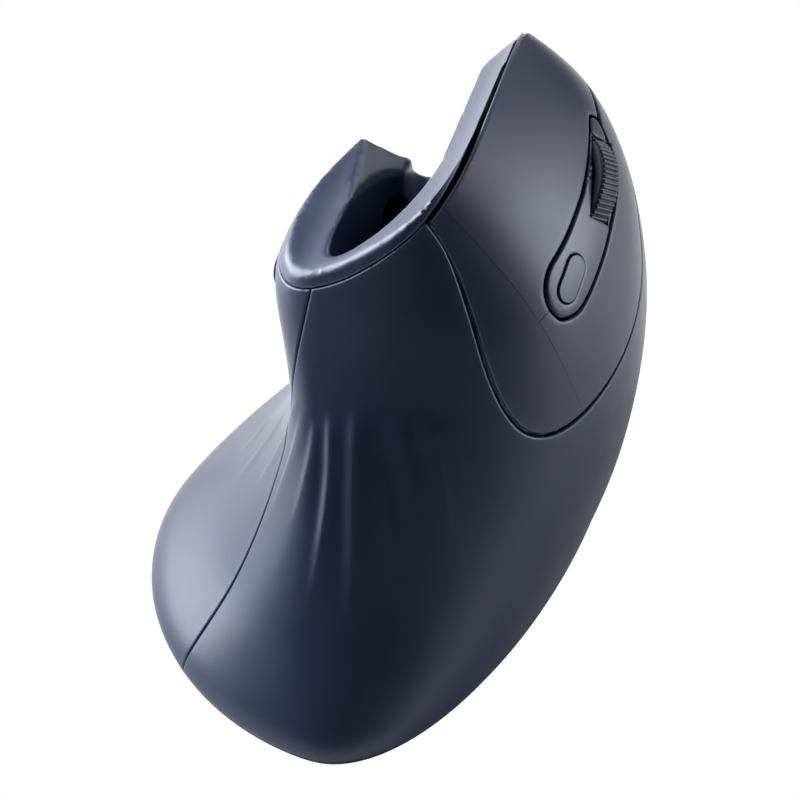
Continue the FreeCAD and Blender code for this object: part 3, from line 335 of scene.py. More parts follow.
def divide(faces, sides, new):
    """splits the faces at the new points of their edges, where new holds -1 for an edge left
    whole; also says which face each new one comes from"""
    made = new[sides]
    count = (made >= 0).sum(axis=1)
    out = [faces[count == 0]]
    for number in (1, 2, 3):
        chosen = count == number
        f, m = faces[chosen], made[chosen]
        if number == 3:
            out += [np.stack([f[:, 0], m[:, 0], m[:, 2]], 1),
                    np.stack([m[:, 0], f[:, 1], m[:, 1]], 1),
                    np.stack([m[:, 2], m[:, 1], f[:, 2]], 1), m]
            continue
        turn = np.argmax(m >= 0, axis=1) if number == 1 else (np.argmin(m >= 0, axis=1) + 1) % 3
        pick = (turn[:, None] + np.arange(3)) % 3
        f = np.take_along_axis(f, pick, axis=1)
        m = np.take_along_axis(m, pick, axis=1)
        if number == 1:
            out += [np.stack([f[:, 0], m[:, 0], f[:, 2]], 1),
                    np.stack([m[:, 0], f[:, 1], f[:, 2]], 1)]
        else:
            out += [np.stack([m[:, 0], f[:, 1], m[:, 1]], 1),
                    np.stack([f[:, 0], m[:, 0], m[:, 1]], 1),
                    np.stack([f[:, 0], m[:, 1], f[:, 2]], 1)]
    source = np.concatenate([np.flatnonzero(count == 0)]
                            + [np.tile(np.flatnonzero(count == n), n + 1) for n in (1, 2, 3)])
    return np.concatenate(out), source


def finer(points, faces, skin, limit, everywhere=False):
    """splits long edges until none passes its limit, on the skin or everywhere"""
    for _ in range(SPLIT_ROUNDS):
        pairs, sides = edges_of(faces, len(points))
        length = np.linalg.norm(points[pairs[:, 0]] - points[pairs[:, 1]], axis=1)
        longest = np.zeros(len(pairs), bool)
        best = np.argmax(length[sides], axis=1)
        chosen = skin | everywhere
        longest[sides[chosen, best[chosen]]] = True
        middle = 0.5 * (points[pairs[:, 0]] + points[pairs[:, 1]])
        cut = longest & (length > limit(middle))
        if not cut.any():
            break
        new = np.full(len(pairs), -1)
        new[cut] = len(points) + np.arange(cut.sum())
        points = np.concatenate([points, middle[cut]])
        faces, source = divide(faces, sides, new)
        skin = skin[source]
    return points, faces, skin


def row_at(points, faces, skin, field, value):
    """splits the faces along the line where the field has that value"""
    pairs, sides = edges_of(faces, len(points))
    of_skin = np.zeros(len(pairs), bool)
    of_skin[sides[skin].reshape(-1)] = True
    a, b = field[pairs[:, 0]] - value, field[pairs[:, 1]] - value
    cut = of_skin & (a * b < 0) & (np.minimum(abs(a), abs(b)) > ON_ROW * value)
    new = np.full(len(pairs), -1)
    new[cut] = len(points) + np.arange(cut.sum())
    share = (a[cut] / (a[cut] - b[cut]))[:, None]
    p, q = points[pairs[cut, 0]], points[pairs[cut, 1]]
    points = np.concatenate([points, p + share * (q - p)])
    field = np.concatenate([field, np.full(cut.sum(), value)])
    faces, source = divide(faces, sides, new)
    return points, faces, skin[source], field


def face_normals(points, faces):
    """outward direction of each face, as long as twice its area"""
    a, b, c = (points[faces[:, i]] for i in range(3))
    return np.cross(b - a, c - a)


def on_hairline(p):
    """which places lie on the buttons' bend, and which on the start of their split"""
    across = PANEL_Z * p[..., 2] - PANEL_X * p[..., 0]
    bend = (abs(p[..., 1] - HINGE_Y) < HINGE_NEAR) & (p[..., 0] > HINGE_LEFT)
    between = (p[..., 1] < SPLIT_FRONT) & (p[..., 1] > SPLIT_REAR)
    split = (abs(across - SPLIT_ACROSS) < SPLIT_NEAR) & between
    return bend, split


def rim_edges(points, faces, skin, soft_top):
    """the edges where the skin ends, less the hairline seams and, where asked, the soft top edge"""
    pairs, sides = edges_of(faces, len(points))
    inner = np.zeros(len(pairs), int)
    outer = np.zeros(len(pairs), int)
    rest = ~skin
    if soft_top:
        rest = rest & (face_normals(points, faces) @ np.array([PANEL_X, 0, -PANEL_Z]) > 0)
    np.add.at(inner, sides[skin].reshape(-1), 1)
    np.add.at(outer, sides[rest].reshape(-1), 1)
    rim = pairs[(inner > 0) & (outer > 0)]
    bend, split = on_hairline(points[rim])
    return rim[~(bend.all(axis=1) | split.all(axis=1))]


def rim_distance(points, faces, skin, reach, rim):
    """distance of the skin's points from its rim"""
    a, b = points[rim[:, 0]], points[rim[:, 1]]
    length = np.linalg.norm(b - a, axis=1)
    pieces = np.maximum(np.ceil(length / RIM_STEP), 1).astype(int)
    which = np.repeat(np.arange(len(rim)), pieces)
    number = np.arange(len(which)) - np.repeat(np.cumsum(pieces) - pieces, pieces)
    place = (number + 0.5) / pieces[which]
    middle = a[which] + place[:, None] * (b - a)[which]
    along = ((b - a) / np.maximum(length, 1e-9)[:, None])[which]
    tree = KDTree(len(middle))
    for i, p in enumerate(middle):
        tree.insert(p, i)
    tree.balance()
    field = np.full(len(points), FAR_AWAY)
    for i in np.unique(faces[skin]):
        _, near, far = tree.find(points[i])
        if far < reach:
            away = points[i] - middle[near]
            beside = away - away.dot(along[near]) * along[near]
            field[i] = math.sqrt(beside.dot(beside))
        else:
            field[i] = far
    field[np.unique(rim)] = 0
    return field


def evened(points, faces, weight, rounds):
    """moves each point towards the middle of its neighbours, as far as its weight allows"""
    pairs, _ = edges_of(faces, len(points))
    both = np.concatenate([pairs, pairs[:, ::-1]])
    count = np.bincount(both[:, 0], minlength=len(points))[:, None]
    for _ in range(rounds):
        total = np.stack([np.bincount(both[:, 0], points[both[:, 1], i], len(points))
                          for i in range(3)], 1)
        points = points + EVEN_SHARE * weight[:, None] * (total / np.maximum(count, 1) - points)
    return points


def dressed_shell(name, radius, soft_top=False):
    """a moulded shell: dense, folded and round-edged on its outer skin, as the CAD elsewhere"""
    points, faces = cad_mesh(name)
    beyond = beyond_skin(points)
    flat = np.linalg.norm(skin_slope(points), axis=1)
    near = (beyond / flat > SKIN_IN) & (beyond / flat < SKIN_OUT)
    normal = face_normals(points, faces)
    normal /= np.maximum(np.linalg.norm(normal, axis=1), 1e-12)[:, None]
    centre = points[faces].mean(axis=1)
    slope = skin_slope(centre)
    facing = (normal * slope).sum(axis=1) / np.linalg.norm(slope, axis=1)
    skin = near[faces].all(axis=1) & (facing > SKIN_FACING)

    def limit(p):
        return np.where(pleat(p) > FOLDED, FOLD_CELL, SADDLE_CELL if soft_top else SHELL_CELL)

    points, faces, skin = finer(points, faces, skin, limit, soft_top)
    rim = rim_edges(points, faces, skin, soft_top)
    bend, _ = on_hairline(points)
    side = np.sign(points[:, 1] - HINGE_Y)
    points[bend, 1] = HINGE_Y + HINGE_GAP * side[bend]
    field = rim_distance(points, faces, skin, 3 * radius, rim)
    for share in EDGE_ROWS:
        points, faces, skin, field = row_at(points, faces, skin, field, share * radius)
    used = np.zeros(len(points), bool)
    used[faces[skin].reshape(-1)] = True
    moved, out = on_skin(points[used])
    moved = moved + pleat(moved)[:, None] * out
    depth = np.clip(radius - field[used], 0, radius)
    drop = radius - np.sqrt(radius ** 2 - depth ** 2)
    points[used] = moved - drop[:, None] * out
    return points, faces, field


def new_mesh(name, points, faces, field=None):
    """an object from points in millimetres; the field, distance from the rim, marks worn edges"""
    mesh = bpy.data.meshes.new(name)
    mesh.vertices.add(len(points))
    mesh.vertices.foreach_set("co", (points * MM).astype(np.float32).reshape(-1))
    mesh.loops.add(3 * len(faces))
    mesh.loops.foreach_set("vertex_index", faces.astype(np.int32).reshape(-1))
    mesh.polygons.add(len(faces))
    mesh.polygons.foreach_set("loop_start", 3 * np.arange(len(faces), dtype=np.int32))
    mesh.polygons.foreach_set("use_smooth", np.ones(len(faces), bool))
    mesh.update(calc_edges=True)
    mesh.validate()
    mesh.set_sharp_from_angle(angle=SMOOTH_ANGLE)
    if field is not None:
        layer = mesh.attributes.new("edge", "FLOAT", "POINT")
        layer.data.foreach_set("value", np.exp(-field / WEAR_REACH).astype(np.float32))
    return placed_object(name, mesh)


def placed_object(name, data):
    """an object of the scene with the given mesh, lamp or camera data"""
    made = bpy.data.objects.new(name, data)
    bpy.context.scene.collection.objects.link(made)
    return made


def body_of_node(name):
    """the moving body that a CAD node belongs to"""
    for body, members in frame["record"]["behaviour"]["bodies"].items():
        if name in members:
            return body


def softened_saddle(radius):
    """the saddle with its crown and scoop lightly evened, its lower seam kept"""
    points, faces, field = dressed_shell(SADDLE, radius, True)
    free = np.clip((field - SADDLE_KEPT) / SADDLE_FADE, 0, 1)
    free[np.unique(faces[(free[faces] == 0).any(axis=1)])] = 0
    return evened(points, faces, free, SADDLE_ROUNDS), faces, field


def dress(name, radius):
    """the piece that stands for a moulded outer node, on the node's own body"""
    if name == SADDLE:
        points, faces, field = softened_saddle(radius)
    else:
        points, faces, field = dressed_shell(name, radius)
    piece = new_mesh(name + "_skin", points, faces, field)
    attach(piece, body_of_node(name))
    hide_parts(name)
    return piece


pieces = {name: dress(name, radius) for name, radius in DRESSED}
for node in nodes.values():
    if not node.hide_render:
        node.data.set_sharp_from_angle(angle=SMOOTH_ANGLE)


# wheel: centre in millimetres, direction of travel and axle
WHEEL_CENTRE = Vector((18.278, 24.889, 60.286))
WHEEL_ALONG = Vector((-0.30015, 0.85736, 0.41815))
WHEEL_AXLE = Vector((-0.47927, -0.51456, 0.71101))
# section of the tyre without its ribs, as radius and place across, and the steps round it
TYRE_SECTION = [(8.72, -2.28), (9.7, -2.28), (10.0, -2.12), (10.14, -1.8), (10.14, 1.8),
                (10.0, 2.12), (9.7, 2.28), (8.72, 2.28)]
TYRE_STEPS = 144
RIB_SIDES = 10
TYRE_SMOOTH_ANGLE = math.radians(40)
# kinds of sockets, and the inputs of the tree of ribs in metres and radians
GEOMETRY, MATERIAL, WHOLE = "NodeSocketGeometry", "NodeSocketMaterial", "NodeSocketInt"
COLOUR, NUMBER, VECTOR = "NodeSocketColor", "NodeSocketFloat", "NodeSocketVector"
RIB_INPUTS = [("Tyre", GEOMETRY, None), ("Radius", NUMBER, 0.0105), ("Rib Length", NUMBER, 0.0038),
              ("Rib Radius", NUMBER, 0.00034), ("Slant", NUMBER, 0.12), ("Ribs", WHOLE, 72),
              ("Rubber", MATERIAL, None)]


def add_sockets(tree, inputs, outputs):
    """named inputs and outputs of a tree, and the two nodes that hold them"""
    for label, kind, value in inputs:
        socket = tree.interface.new_socket(label, in_out="INPUT", socket_type=kind)
        if value is not None:
            socket.default_value = value
    for label, kind in outputs:
        tree.interface.new_socket(label, in_out="OUTPUT", socket_type=kind)
    return tree.nodes.new("NodeGroupInput").outputs, tree.nodes.new("NodeGroupOutput").inputs


def math_node(tree, how, a, b):
    """a calculation with two values, each a number or the output of a node"""
    node = tree.nodes.new("ShaderNodeMath")
    node.operation = how
    for i, value in enumerate((a, b)):
        if isinstance(value, (int, float)):
            node.inputs[i].default_value = value
        else:
            tree.links.new(value, node.inputs[i])
    return node.outputs[0]


def tyre_tree():
    """ribs set round a tyre: rounded bars on a ring of points, a little slanted"""
    tree = bpy.data.node_groups.new("tyre ribs", "GeometryNodeTree")
    given, made = add_sockets(tree, RIB_INPUTS, [("Geometry", GEOMETRY)])
    new, link = tree.nodes.new, tree.links.new
    bar = new("GeometryNodeMeshCylinder")
    bar.inputs["Vertices"].default_value = RIB_SIDES
    link(given["Rib Radius"], bar.inputs["Radius"])
    link(given["Rib Length"], bar.inputs["Depth"])
    tilt = new("ShaderNodeCombineXYZ")
    link(given["Slant"], tilt.inputs["X"])
    slanted = new("GeometryNodeTransform")
    link(bar.outputs["Mesh"], slanted.inputs["Geometry"])
    link(tilt.outputs[0], slanted.inputs["Rotation"])
    ring = new("GeometryNodeMeshCircle")
    link(given["Ribs"], ring.inputs["Vertices"])
    link(math_node(tree, "SUBTRACT", given["Radius"], given["Rib Radius"]), ring.inputs["Radius"])
    count = new("GeometryNodeInputIndex")
    share = math_node(tree, "DIVIDE", count.outputs[0], given["Ribs"])
    turn = new("ShaderNodeCombineXYZ")
    link(math_node(tree, "MULTIPLY", share, 2 * math.pi), turn.inputs["Z"])
    placed = new("GeometryNodeInstanceOnPoints")
    link(ring.outputs["Mesh"], placed.inputs["Points"])
    link(slanted.outputs["Geometry"], placed.inputs["Instance"])
    link(turn.outputs[0], placed.inputs["Rotation"])
    joined = new("GeometryNodeJoinGeometry")
    link(placed.outputs["Instances"], joined.inputs[0])
    link(given["Tyre"], joined.inputs[0])
    real = new("GeometryNodeRealizeInstances")
    link(joined.outputs[0], real.inputs[0])
    skin = new("GeometryNodeSetMaterial")
    link(real.outputs[0], skin.inputs["Geometry"])
    link(given["Rubber"], skin.inputs["Material"])
    link(skin.outputs[0], made[0])
    return tree


def ribbed_tyre(rubber):
    """the tyre: a turned ring with ribs from the tree, as a plain mesh in its place"""
    angles = np.arange(TYRE_STEPS) * 2 * math.pi / TYRE_STEPS
    section = np.array(TYRE_SECTION)
    points = np.stack([np.outer(np.cos(angles), section[:, 0]),
                       np.outer(np.sin(angles), section[:, 0]),
                       np.tile(section[:, 1], (TYRE_STEPS, 1))], 2).reshape(-1, 3)
    faces = []
    for i in range(TYRE_STEPS):
        for j in range(len(section)):
            a, b = i * len(section) + j, i * len(section) + (j + 1) % len(section)
            c, d = [(k + len(section)) % len(points) for k in (b, a)]
            faces += [(a, d, c), (a, c, b)]
    ring = new_mesh("tyre_ring", points, np.array(faces))
    ribs = ring.modifiers.new("ribs", "NODES")
    ribs.node_group = tyre_tree()
    for item in ribs.node_group.interface.items_tree:
        if item.item_type == "SOCKET" and item.in_out == "INPUT" and item.name != "Tyre":
            ribs[item.identifier] = rubber if item.name == "Rubber" else item.default_value
    seen = bpy.context.evaluated_depsgraph_get()
    mesh = bpy.data.meshes.new_from_object(ring.evaluated_get(seen))
    bpy.data.objects.remove(ring)
    wheel_up = WHEEL_AXLE.cross(WHEEL_ALONG)
    turn = Matrix((WHEEL_ALONG, wheel_up, WHEEL_AXLE)).transposed().to_4x4()
    mesh.transform(Matrix.Translation(WHEEL_CENTRE * MM) @ turn)
    mesh.set_sharp_from_angle(angle=TYRE_SMOOTH_ANGLE)
    piece = placed_object("wheel_tyre_ribbed", mesh)
    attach(piece, body_of_node("wheel_tyre"))
    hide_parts("wheel_tyre")


def surface_group(name, inputs):
    """an empty group for a surface: its inputs, its outputs and the place on the object"""
    group = bpy.data.node_groups.new(name, "ShaderNodeTree")
    given, made = add_sockets(group, inputs, [("Colour", COLOUR), ("Roughness", NUMBER),
                                              ("Normal", VECTOR)])
    return group, given, made, group.nodes.new("ShaderNodeTexCoord").outputs["Object"]


def mix_node(group, amount, a, b):
    """a colour between two others"""
    node = group.nodes.new("ShaderNodeMix")
    node.data_type = "RGBA"
    group.links.new(amount, node.inputs["Factor"])
    for label, value in (("A", a), ("B", b)):
        socket = [i for i in node.inputs if i.name == label and i.type == "RGBA"][0]
        group.links.new(value, socket)
    return [o for o in node.outputs if o.type == "RGBA"][0]


def noise_node(group, place, size, detail, stretch=None):
    """noise whose grains are about the given number of millimetres wide"""
    if stretch:
        mapping = group.nodes.new("ShaderNodeMapping")
        mapping.inputs["Scale"].default_value = stretch
        group.links.new(place, mapping.inputs["Vector"])
        place = mapping.outputs[0]
    node = group.nodes.new("ShaderNodeTexNoise")
    node.inputs["Detail"].default_value = detail
    group.links.new(place, node.inputs["Vector"])
    if isinstance(size, (int, float)):
        node.inputs["Scale"].default_value = MM_PER_M / size
    else:
        group.links.new(math_node(group, "DIVIDE", MM_PER_M, size), node.inputs["Scale"])
    return node.outputs["Fac"]


def bump_node(group, height, depth, below=None):
    """bump of a height from 0 to 1, as deep as the given number of millimetres"""
    node = group.nodes.new("ShaderNodeBump")
    node.inputs["Strength"].default_value = 1
    group.links.new(math_node(group, "MULTIPLY", depth, MM), node.inputs["Distance"])
    group.links.new(height, node.inputs["Height"])
    if below:
        group.links.new(below, node.inputs["Normal"])
    return node.outputs[0]


def put_out(group, made, colour, rough, normal):
    """joins the three results of a surface to its outputs"""
    for label, value in (("Colour", colour), ("Roughness", rough), ("Normal", normal)):
        group.links.new(value, made[label])
    return group


def rougher(group, given, mask, amount):
    """the surface's roughness with a share of a mask added"""
    return math_node(group, "ADD", given["Roughness"], math_node(group, "MULTIPLY", mask, amount))


# moulded surface: widths in millimetres of its clouds, streaks and chips and the streaks' stretch,
# how dark a cloud shows handling and how fast, least wear of an edge and how much smoother it gets,
# and the shares of clouds and streaks in the roughness
CLOUD, STREAK, CHIP, STREAK_STRETCH = 14, 1.3, 0.9, (1, 0.12, 0.25)
HANDLED_FROM, HANDLED_GAIN, LEAST_WEAR, WORN_SMOOTHER = 0.35, 2.2, 0.15, 0.12
CLOUD_SHARE, STREAK_SHARE, NOISE_MIDDLE = 0.7, 0.3, 0.5
# metal surface: widths of its brushing, dents and stains, the brushing's stretch and roughness
BRUSHING, DENT, STAIN, BRUSHING_STRETCH, BRUSHING_ROUGH = 0.12, 3.5, 2.0, (1, 0.04, 1), 0.12
# circuit surface: where a trace starts, spacing and size of the pads against the traces, and the
# width, roughness and height in millimetres of what lies under the lacquer
TRACE_FROM, PAD_RATE, PAD_SIZE, WEAVE, WEAVE_ROUGH, TRACE_HEIGHT = 0.85, 0.45, 0.16, 0.4, 0.1, 0.03
# film surface: half pitch, where copper starts in it, width and roughness of smears, copper height
HALF_PITCH, COPPER_FROM, SMEAR, SMEAR_ROUGH, COPPER_HEIGHT = 0.5, 0.22, 2.0, 0.15, 0.02


def moulded_surface():
    """moulded plastic or rubber: fine grain, cloudy handling marks, wiped streaks and worn edges"""
    group, given, made, place = surface_group("moulded surface", [
        ("Colour", COLOUR, (0.1, 0.1, 0.1, 1)), ("Handled Colour", COLOUR, (0.1, 0.1, 0.1, 1)),
        ("Worn Colour", COLOUR, (0.2, 0.2, 0.2, 1)), ("Grain Size", NUMBER, 0.3),
        ("Grain Depth", NUMBER, 0.01), ("Roughness", NUMBER, 0.5),
        ("Roughness Spread", NUMBER, 0.1), ("Edge Wear", NUMBER, 0.3)])
    cloud = noise_node(group, place, CLOUD, 3)
    streak = noise_node(group, place, STREAK, 2, STREAK_STRETCH)
    grain = noise_node(group, place, given["Grain Size"], 2)
    chip = noise_node(group, place, CHIP, 3)
    handled = math_node(group, "SUBTRACT", cloud, HANDLED_FROM)
    handled = math_node(group, "MULTIPLY", handled, HANDLED_GAIN)
    clamp = group.nodes.new("ShaderNodeClamp")
    group.links.new(handled, clamp.inputs[0])
    colour = mix_node(group, clamp.outputs[0], given["Colour"], given["Handled Colour"])
    edge = group.nodes.new("ShaderNodeAttribute")
    edge.attribute_name = "edge"
    chipped = math_node(group, "ADD", chip, LEAST_WEAR)
    worn = math_node(group, "MULTIPLY", edge.outputs["Fac"], chipped)
    worn = math_node(group, "MULTIPLY", worn, given["Edge Wear"])
    colour = mix_node(group, worn, colour, given["Worn Colour"])
    uneven = math_node(group, "ADD", math_node(group, "MULTIPLY", cloud, CLOUD_SHARE),
                       math_node(group, "MULTIPLY", streak, STREAK_SHARE))
    uneven = math_node(group, "SUBTRACT", uneven, NOISE_MIDDLE)
    rough = rougher(group, given, uneven, given["Roughness Spread"])
    smoother = math_node(group, "MULTIPLY", worn, WORN_SMOOTHER)
    rough = math_node(group, "SUBTRACT", rough, smoother)
    return put_out(group, made, colour, rough, bump_node(group, grain, given["Grain Depth"]))


def metal_surface():
    """plated metal or foil: fine brushing along one direction, shallow dents, darker tarnish"""
    group, given, made, place = surface_group("metal surface", [
        ("Colour", COLOUR, (0.6, 0.6, 0.6, 1)), ("Tarnish", COLOUR, (0.4, 0.38, 0.35, 1)),
        ("Brushing", NUMBER, 0.004), ("Dents", NUMBER, 0.02), ("Roughness", NUMBER, 0.3)])
    brushing = noise_node(group, place, BRUSHING, 2, BRUSHING_STRETCH)
    dent = noise_node(group, place, DENT, 2)
    stain = math_node(group, "POWER", noise_node(group, place, STAIN, 4), 2)
    colour = mix_node(group, stain, given["Colour"], given["Tarnish"])
    brushed = bump_node(group, brushing, given["Brushing"])
    return put_out(group, made, colour, rougher(group, given, brushing, BRUSHING_ROUGH),
                   bump_node(group, dent, given["Dents"], brushed))


def circuit_surface():
    """lacquered board: traces under the lacquer, tinned pads and a woven core"""
    group, given, made, place = surface_group("circuit surface", [
        ("Colour", COLOUR, (0.02, 0.12, 0.06, 1)), ("Trace Colour", COLOUR, (0.03, 0.2, 0.09, 1)),
        ("Pad Colour", COLOUR, (0.7, 0.66, 0.5, 1)), ("Trace Pitch", NUMBER, 1.4),
        ("Roughness", NUMBER, 0.3)])
    cells = group.nodes.new("ShaderNodeTexVoronoi")
    cells.distance = "MANHATTAN"
    cells.feature = "F2"
    rate = math_node(group, "DIVIDE", MM_PER_M, given["Trace Pitch"])
    group.links.new(rate, cells.inputs["Scale"])
    group.links.new(place, cells.inputs["Vector"])
    trace = math_node(group, "GREATER_THAN", cells.outputs["Distance"], TRACE_FROM)
    dots = group.nodes.new("ShaderNodeTexVoronoi")
    group.links.new(math_node(group, "MULTIPLY", rate, PAD_RATE), dots.inputs["Scale"])
    group.links.new(place, dots.inputs["Vector"])
    pad = math_node(group, "LESS_THAN", dots.outputs["Distance"], PAD_SIZE)
    colour = mix_node(group, trace, given["Colour"], given["Trace Colour"])
    colour = mix_node(group, pad, colour, given["Pad Colour"])
    weave = noise_node(group, place, WEAVE, 1)
    height = math_node(group, "ADD", trace, pad)
    return put_out(group, made, colour, rougher(group, given, weave, WEAVE_ROUGH),
                   bump_node(group, height, TRACE_HEIGHT))


def film_surface():
    """flat cable: copper conductors side by side under clear amber film"""
    group, given, made, place = surface_group("film surface", [
        ("Film Colour", COLOUR, (0.65, 0.35, 0.08, 1)), ("Copper", COLOUR, (0.8, 0.42, 0.2, 1)),
        ("Conductor Pitch", NUMBER, 1.0), ("Roughness", NUMBER, 0.25)])
    split = group.nodes.new("ShaderNodeSeparateXYZ")
    group.links.new(place, split.inputs[0])
    across = math_node(group, "DIVIDE",
                       math_node(group, "MULTIPLY", split.outputs["Y"], MM_PER_M),
                       given["Conductor Pitch"])
    wave = math_node(group, "PINGPONG", across, HALF_PITCH)
    copper = math_node(group, "GREATER_THAN", wave, COPPER_FROM)
    smear = noise_node(group, place, SMEAR, 3)
    colour = mix_node(group, copper, given["Film Colour"], given["Copper"])
    return put_out(group, made, colour, rougher(group, given, smear, SMEAR_ROUGH),
                   bump_node(group, copper, COPPER_HEIGHT))


def made_of(name, surface, given, shader_values):
    """a material whose shader takes its colour, roughness and bump from one of the surfaces"""
    material = bpy.data.materials.new(name)
    material.use_nodes = True
    tree = material.node_tree
    shader = tree.nodes["Principled BSDF"]
    look = tree.nodes.new("ShaderNodeGroup")
    look.node_tree = surface
    for label, value in given.items():
        look.inputs[label].default_value = (*value, 1) if isinstance(value, tuple) else value
    for label, value in shader_values.items():
        shader.inputs[label].default_value = value
    for end, start in (("Base Color", "Colour"), ("Roughness", "Roughness"), ("Normal", "Normal")):
        tree.links.new(look.outputs[start], shader.inputs[end])
    return material


MOULDED, METAL = moulded_surface(), metal_surface()
CIRCUIT, FILM = circuit_surface(), film_surface()
NAVY, NAVY_HANDLED, NAVY_WORN = (0.005, 0.0092, 0.028), (0.007, 0.0115, 0.033), (0.06, 0.078, 0.13)
NAVY_GLOSS = {"Specular Tint": (0.80, 0.85, 1, 1)}
SOFT_NAVY = {**NAVY_GLOSS, "Sheen Weight": 0.02, "Sheen Roughness": 0.45}
# moulded finishes: slot, name, colour where plain, handled and worn, then the size and depth of the
# grain in millimetres, roughness and its spread, wear of the edges, and further shader values
MOULDED_INPUTS = ("Colour", "Handled Colour", "Worn Colour", "Grain Size", "Grain Depth",
                  "Roughness", "Roughness Spread", "Edge Wear")
MOULDED_FINISHES = [
    ("soft_shell", "soft_navy_shell", NAVY, NAVY_HANDLED, NAVY_WORN,
     0.32, 0.006, 0.40, 0.16, 0.5, SOFT_NAVY),
    ("rim_shell", "soft_navy_rim", (0.009, 0.0135, 0.036), (0.012, 0.017, 0.042), NAVY_WORN,
     0.3, 0.006, 0.38, 0.14, 0.35, SOFT_NAVY),
    ("button_skin", "soft_navy_buttons", (0.0075, 0.0105, 0.030), (0.0115, 0.0145, 0.036),
     NAVY_WORN, 0.3, 0.005, 0.38, 0.16, 0.6, SOFT_NAVY),
    ("strip_skin", "fine_navy_strip", (0.009, 0.012, 0.029), (0.012, 0.015, 0.034), NAVY_WORN,
     0.22, 0.004, 0.33, 0.1, 0.5, NAVY_GLOSS),
    ("key_skin", "satin_navy_keys", (0.013, 0.017, 0.040), (0.017, 0.021, 0.046), NAVY_WORN,
     0.22, 0.004, 0.35, 0.1, 0.5, NAVY_GLOSS),
    ("black_gloss", "gap_black_gloss", (0.004, 0.0045, 0.006), (0.005, 0.0055, 0.007),
     (0.03, 0.03, 0.035), 0.5, 0.002, 0.13, 0.08, 0.2,
     {"Coat Weight": 0.4, "Coat Roughness": 0.06}),
    ("wheel_rubber", "ribbed_wheel_rubber", (0.010, 0.013, 0.028), (0.014, 0.017, 0.032),
     (0.05, 0.055, 0.07), 0.18, 0.012, 0.48, 0.12, 0.3, {}),
    ("wheel_core", "wheel_core_satin", (0.006, 0.007, 0.011), (0.008, 0.009, 0.013),
     (0.04, 0.04, 0.05), 0.3, 0.004, 0.28, 0.1, 0.2, {}),
    ("base_black", "textured_base", (0.008, 0.010, 0.018), (0.012, 0.014, 0.022),
     (0.05, 0.052, 0.06), 0.45, 0.03, 0.55, 0.12, 0.4, {}),
    ("glide", "slick_glide", (0.011, 0.011, 0.012), (0.02, 0.02, 0.021),
     (0.08, 0.08, 0.08), 0.9, 0.004, 0.24, 0.3, 0.3, {}),
    ("chip_black", "moulded_chip", (0.012, 0.012, 0.012), (0.016, 0.016, 0.016),
     (0.06, 0.06, 0.06), 0.15, 0.01, 0.5, 0.1, 0.1, {}),
    ("switch_black", "moulded_switch", (0.015, 0.015, 0.017), (0.02, 0.02, 0.022),
     (0.07, 0.07, 0.07), 0.25, 0.008, 0.42, 0.1, 0.1, {}),
    ("nylon_white", "white_nylon", (0.66, 0.66, 0.62), (0.72, 0.71, 0.66), (0.8, 0.8, 0.78),
     0.35, 0.006, 0.42, 0.12, 0.1, {"Subsurface Weight": 0.15, "Subsurface Scale": 0.001}),
    ("clear_lens", "clear_sensor_lens", (0.9, 0.92, 0.95), (0.86, 0.89, 0.93), (1, 1, 1),
     0.8, 0.001, 0.05, 0.05, 0.1, {"Transmission Weight": 0.9, "IOR": 1.49}),
]
# other finishes: slot, name, surface, values of the surface and further shader values
OTHER_FINISHES = [
    ("steel", "plated_steel", METAL,
     {"Colour": (0.62, 0.62, 0.63), "Tarnish": (0.42, 0.40, 0.37), "Brushing": 0.004,
      "Dents": 0.01, "Roughness": 0.24}, {"Metallic": 1.0}),
    ("cell_foil", "cell_foil", METAL,
     {"Colour": (0.55, 0.56, 0.58), "Tarnish": (0.45, 0.46, 0.48), "Brushing": 0.002,
      "Dents": 0.08, "Roughness": 0.3}, {"Metallic": 0.9}),
    ("board_green", "green_board", CIRCUIT, {"Roughness": 0.28}, {"Coat Weight": 0.3}),
    ("cable_amber", "amber_cable", FILM, {"Roughness": 0.22}, {"Coat Weight": 0.3}),
]
finishes = {}
for slot, name, *values, shader_values in MOULDED_FINISHES:
    given = dict(zip(MOULDED_INPUTS, values))
    finishes[slot] = made_of(name, MOULDED, given, shader_values)
for slot, name, surface, given, shader_values in OTHER_FINISHES:
    finishes[slot] = made_of(name, surface, given, shader_values)
slot_of = {part["node"]: part["material_slot"] for part in frame["record"]["subparts"]}
for name, piece in [*nodes.items(), *pieces.items()]:
    piece.data.materials.clear()
    piece.data.materials.append(finishes[slot_of[name]])
ribbed_tyre(finishes["wheel_rubber"])


# floor of white paper: it takes shadows and light, and the camera sees it as plain white
FLOOR_REACH = 3
PAPER_GREY = (0.8, 0.8, 0.8, 1)
floor = bpy.data.meshes.new("floor")
floor.from_pydata([(x * FLOOR_REACH, y * FLOOR_REACH, 0)
                   for x, y in ((-1, -1), (1, -1), (1, 1), (-1, 1))], [], [(0, 1, 2, 3)])
ground = placed_object("floor", floor)
paper = bpy.data.materials.new("paper")
paper.use_nodes = True
tree = paper.node_tree
tree.nodes.clear()
out = tree.nodes.new("ShaderNodeOutputMaterial")
mix = tree.nodes.new("ShaderNodeMixShader")
diffuse = tree.nodes.new("ShaderNodeBsdfDiffuse")
diffuse.inputs["Color"].default_value = PAPER_GREY
glow = tree.nodes.new("ShaderNodeEmission")
glow.inputs["Color"].default_value = (1, 1, 1, 1)
glow.inputs["Strength"].default_value = 1
path = tree.nodes.new("ShaderNodeLightPath")
tree.links.new(path.outputs["Is Camera Ray"], mix.inputs["Fac"])
tree.links.new(diffuse.outputs[0], mix.inputs[1])
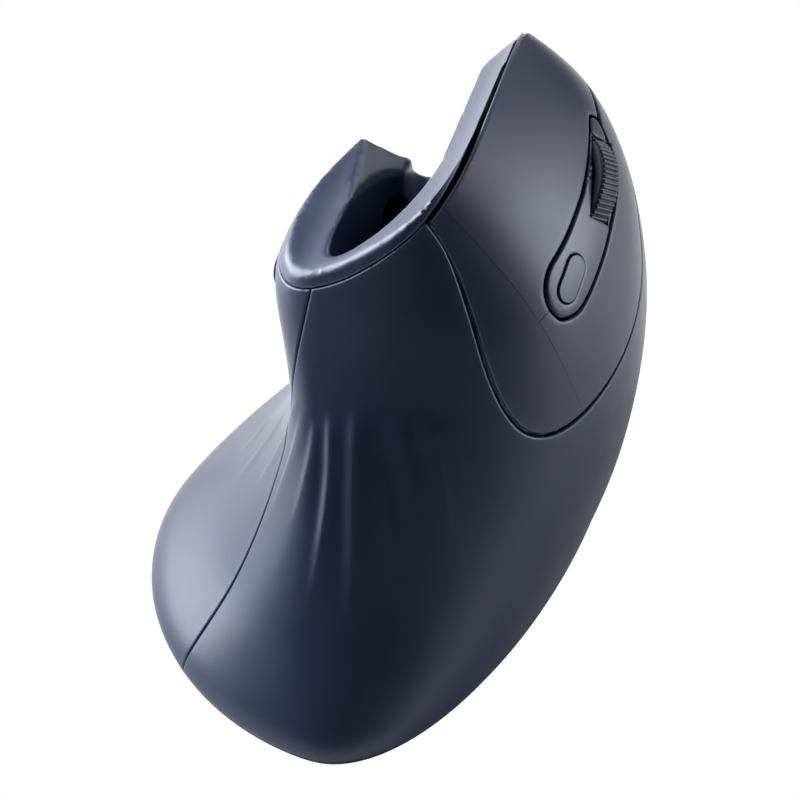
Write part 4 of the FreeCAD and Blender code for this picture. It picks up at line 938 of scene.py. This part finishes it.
tree.links.new(glow.outputs[0], mix.inputs[2])
tree.links.new(mix.outputs[0], out.inputs["Surface"])
floor.materials.append(paper)

# studio light: a dim room and four soft boxes, each with its place, aim, width, height and watts
ROOM_COLOUR, ROOM_STRENGTH = (0.9, 0.93, 1, 1), 0.045
SOFT_BOXES = [("left_box", (-0.60, 0.02, 0.30), (0, 0, 0.04), 0.6, 0.5, 18),
              ("right_box", (0.62, 0.26, 0.16), (0, 0, 0.04), 0.4, 0.4, 4),
              ("back_box", (0.05, 0.62, 0.42), (0, 0, 0.04), 0.7, 0.3, 2.6),
              ("top_box", (-0.34, 0.05, 0.62), (0, 0, 0.05), 0.4, 0.3, 1.8)]
world = bpy.data.worlds.new("studio")
bpy.context.scene.world = world
world.use_nodes = True
world.node_tree.nodes["Background"].inputs["Color"].default_value = ROOM_COLOUR
world.node_tree.nodes["Background"].inputs["Strength"].default_value = ROOM_STRENGTH
for name, place, aim, width, height, watts in SOFT_BOXES:
    light = bpy.data.lights.new(name, "AREA")
    light.shape = "RECTANGLE"
    light.size = width
    light.size_y = height
    light.energy = watts
    turn = (Vector(place) - Vector(aim)).to_track_quat("Z", "Y")
    placed_object(name, light).matrix_world = Matrix.LocRotScale(Vector(place), turn, None)

# camera of the photograph: its directions, and the place it looks at from this many metres
BACK = Vector((0.2507, -0.6204, 0.7431))
RIGHT_HAND = Vector((0.9272, 0.3746, 0.0))
LOOKED_AT = Vector((0, 0, 0.036))
CAMERA_DISTANCE = 0.620
camera_data = bpy.data.cameras.new("camera")
camera_data.sensor_width = 36
camera_data.lens = 167.4
camera_data.shift_x = -0.0025
camera_data.shift_y = -0.048
camera_data.clip_start = 0.05
camera = placed_object("camera", camera_data)
turn = Matrix((RIGHT_HAND, BACK.cross(RIGHT_HAND), BACK)).transposed()
camera.matrix_world = Matrix.Translation(LOOKED_AT + BACK * CAMERA_DISTANCE) @ turn.to_4x4()
bpy.context.scene.camera = camera
bpy.context.scene.view_settings.view_transform = "Standard"
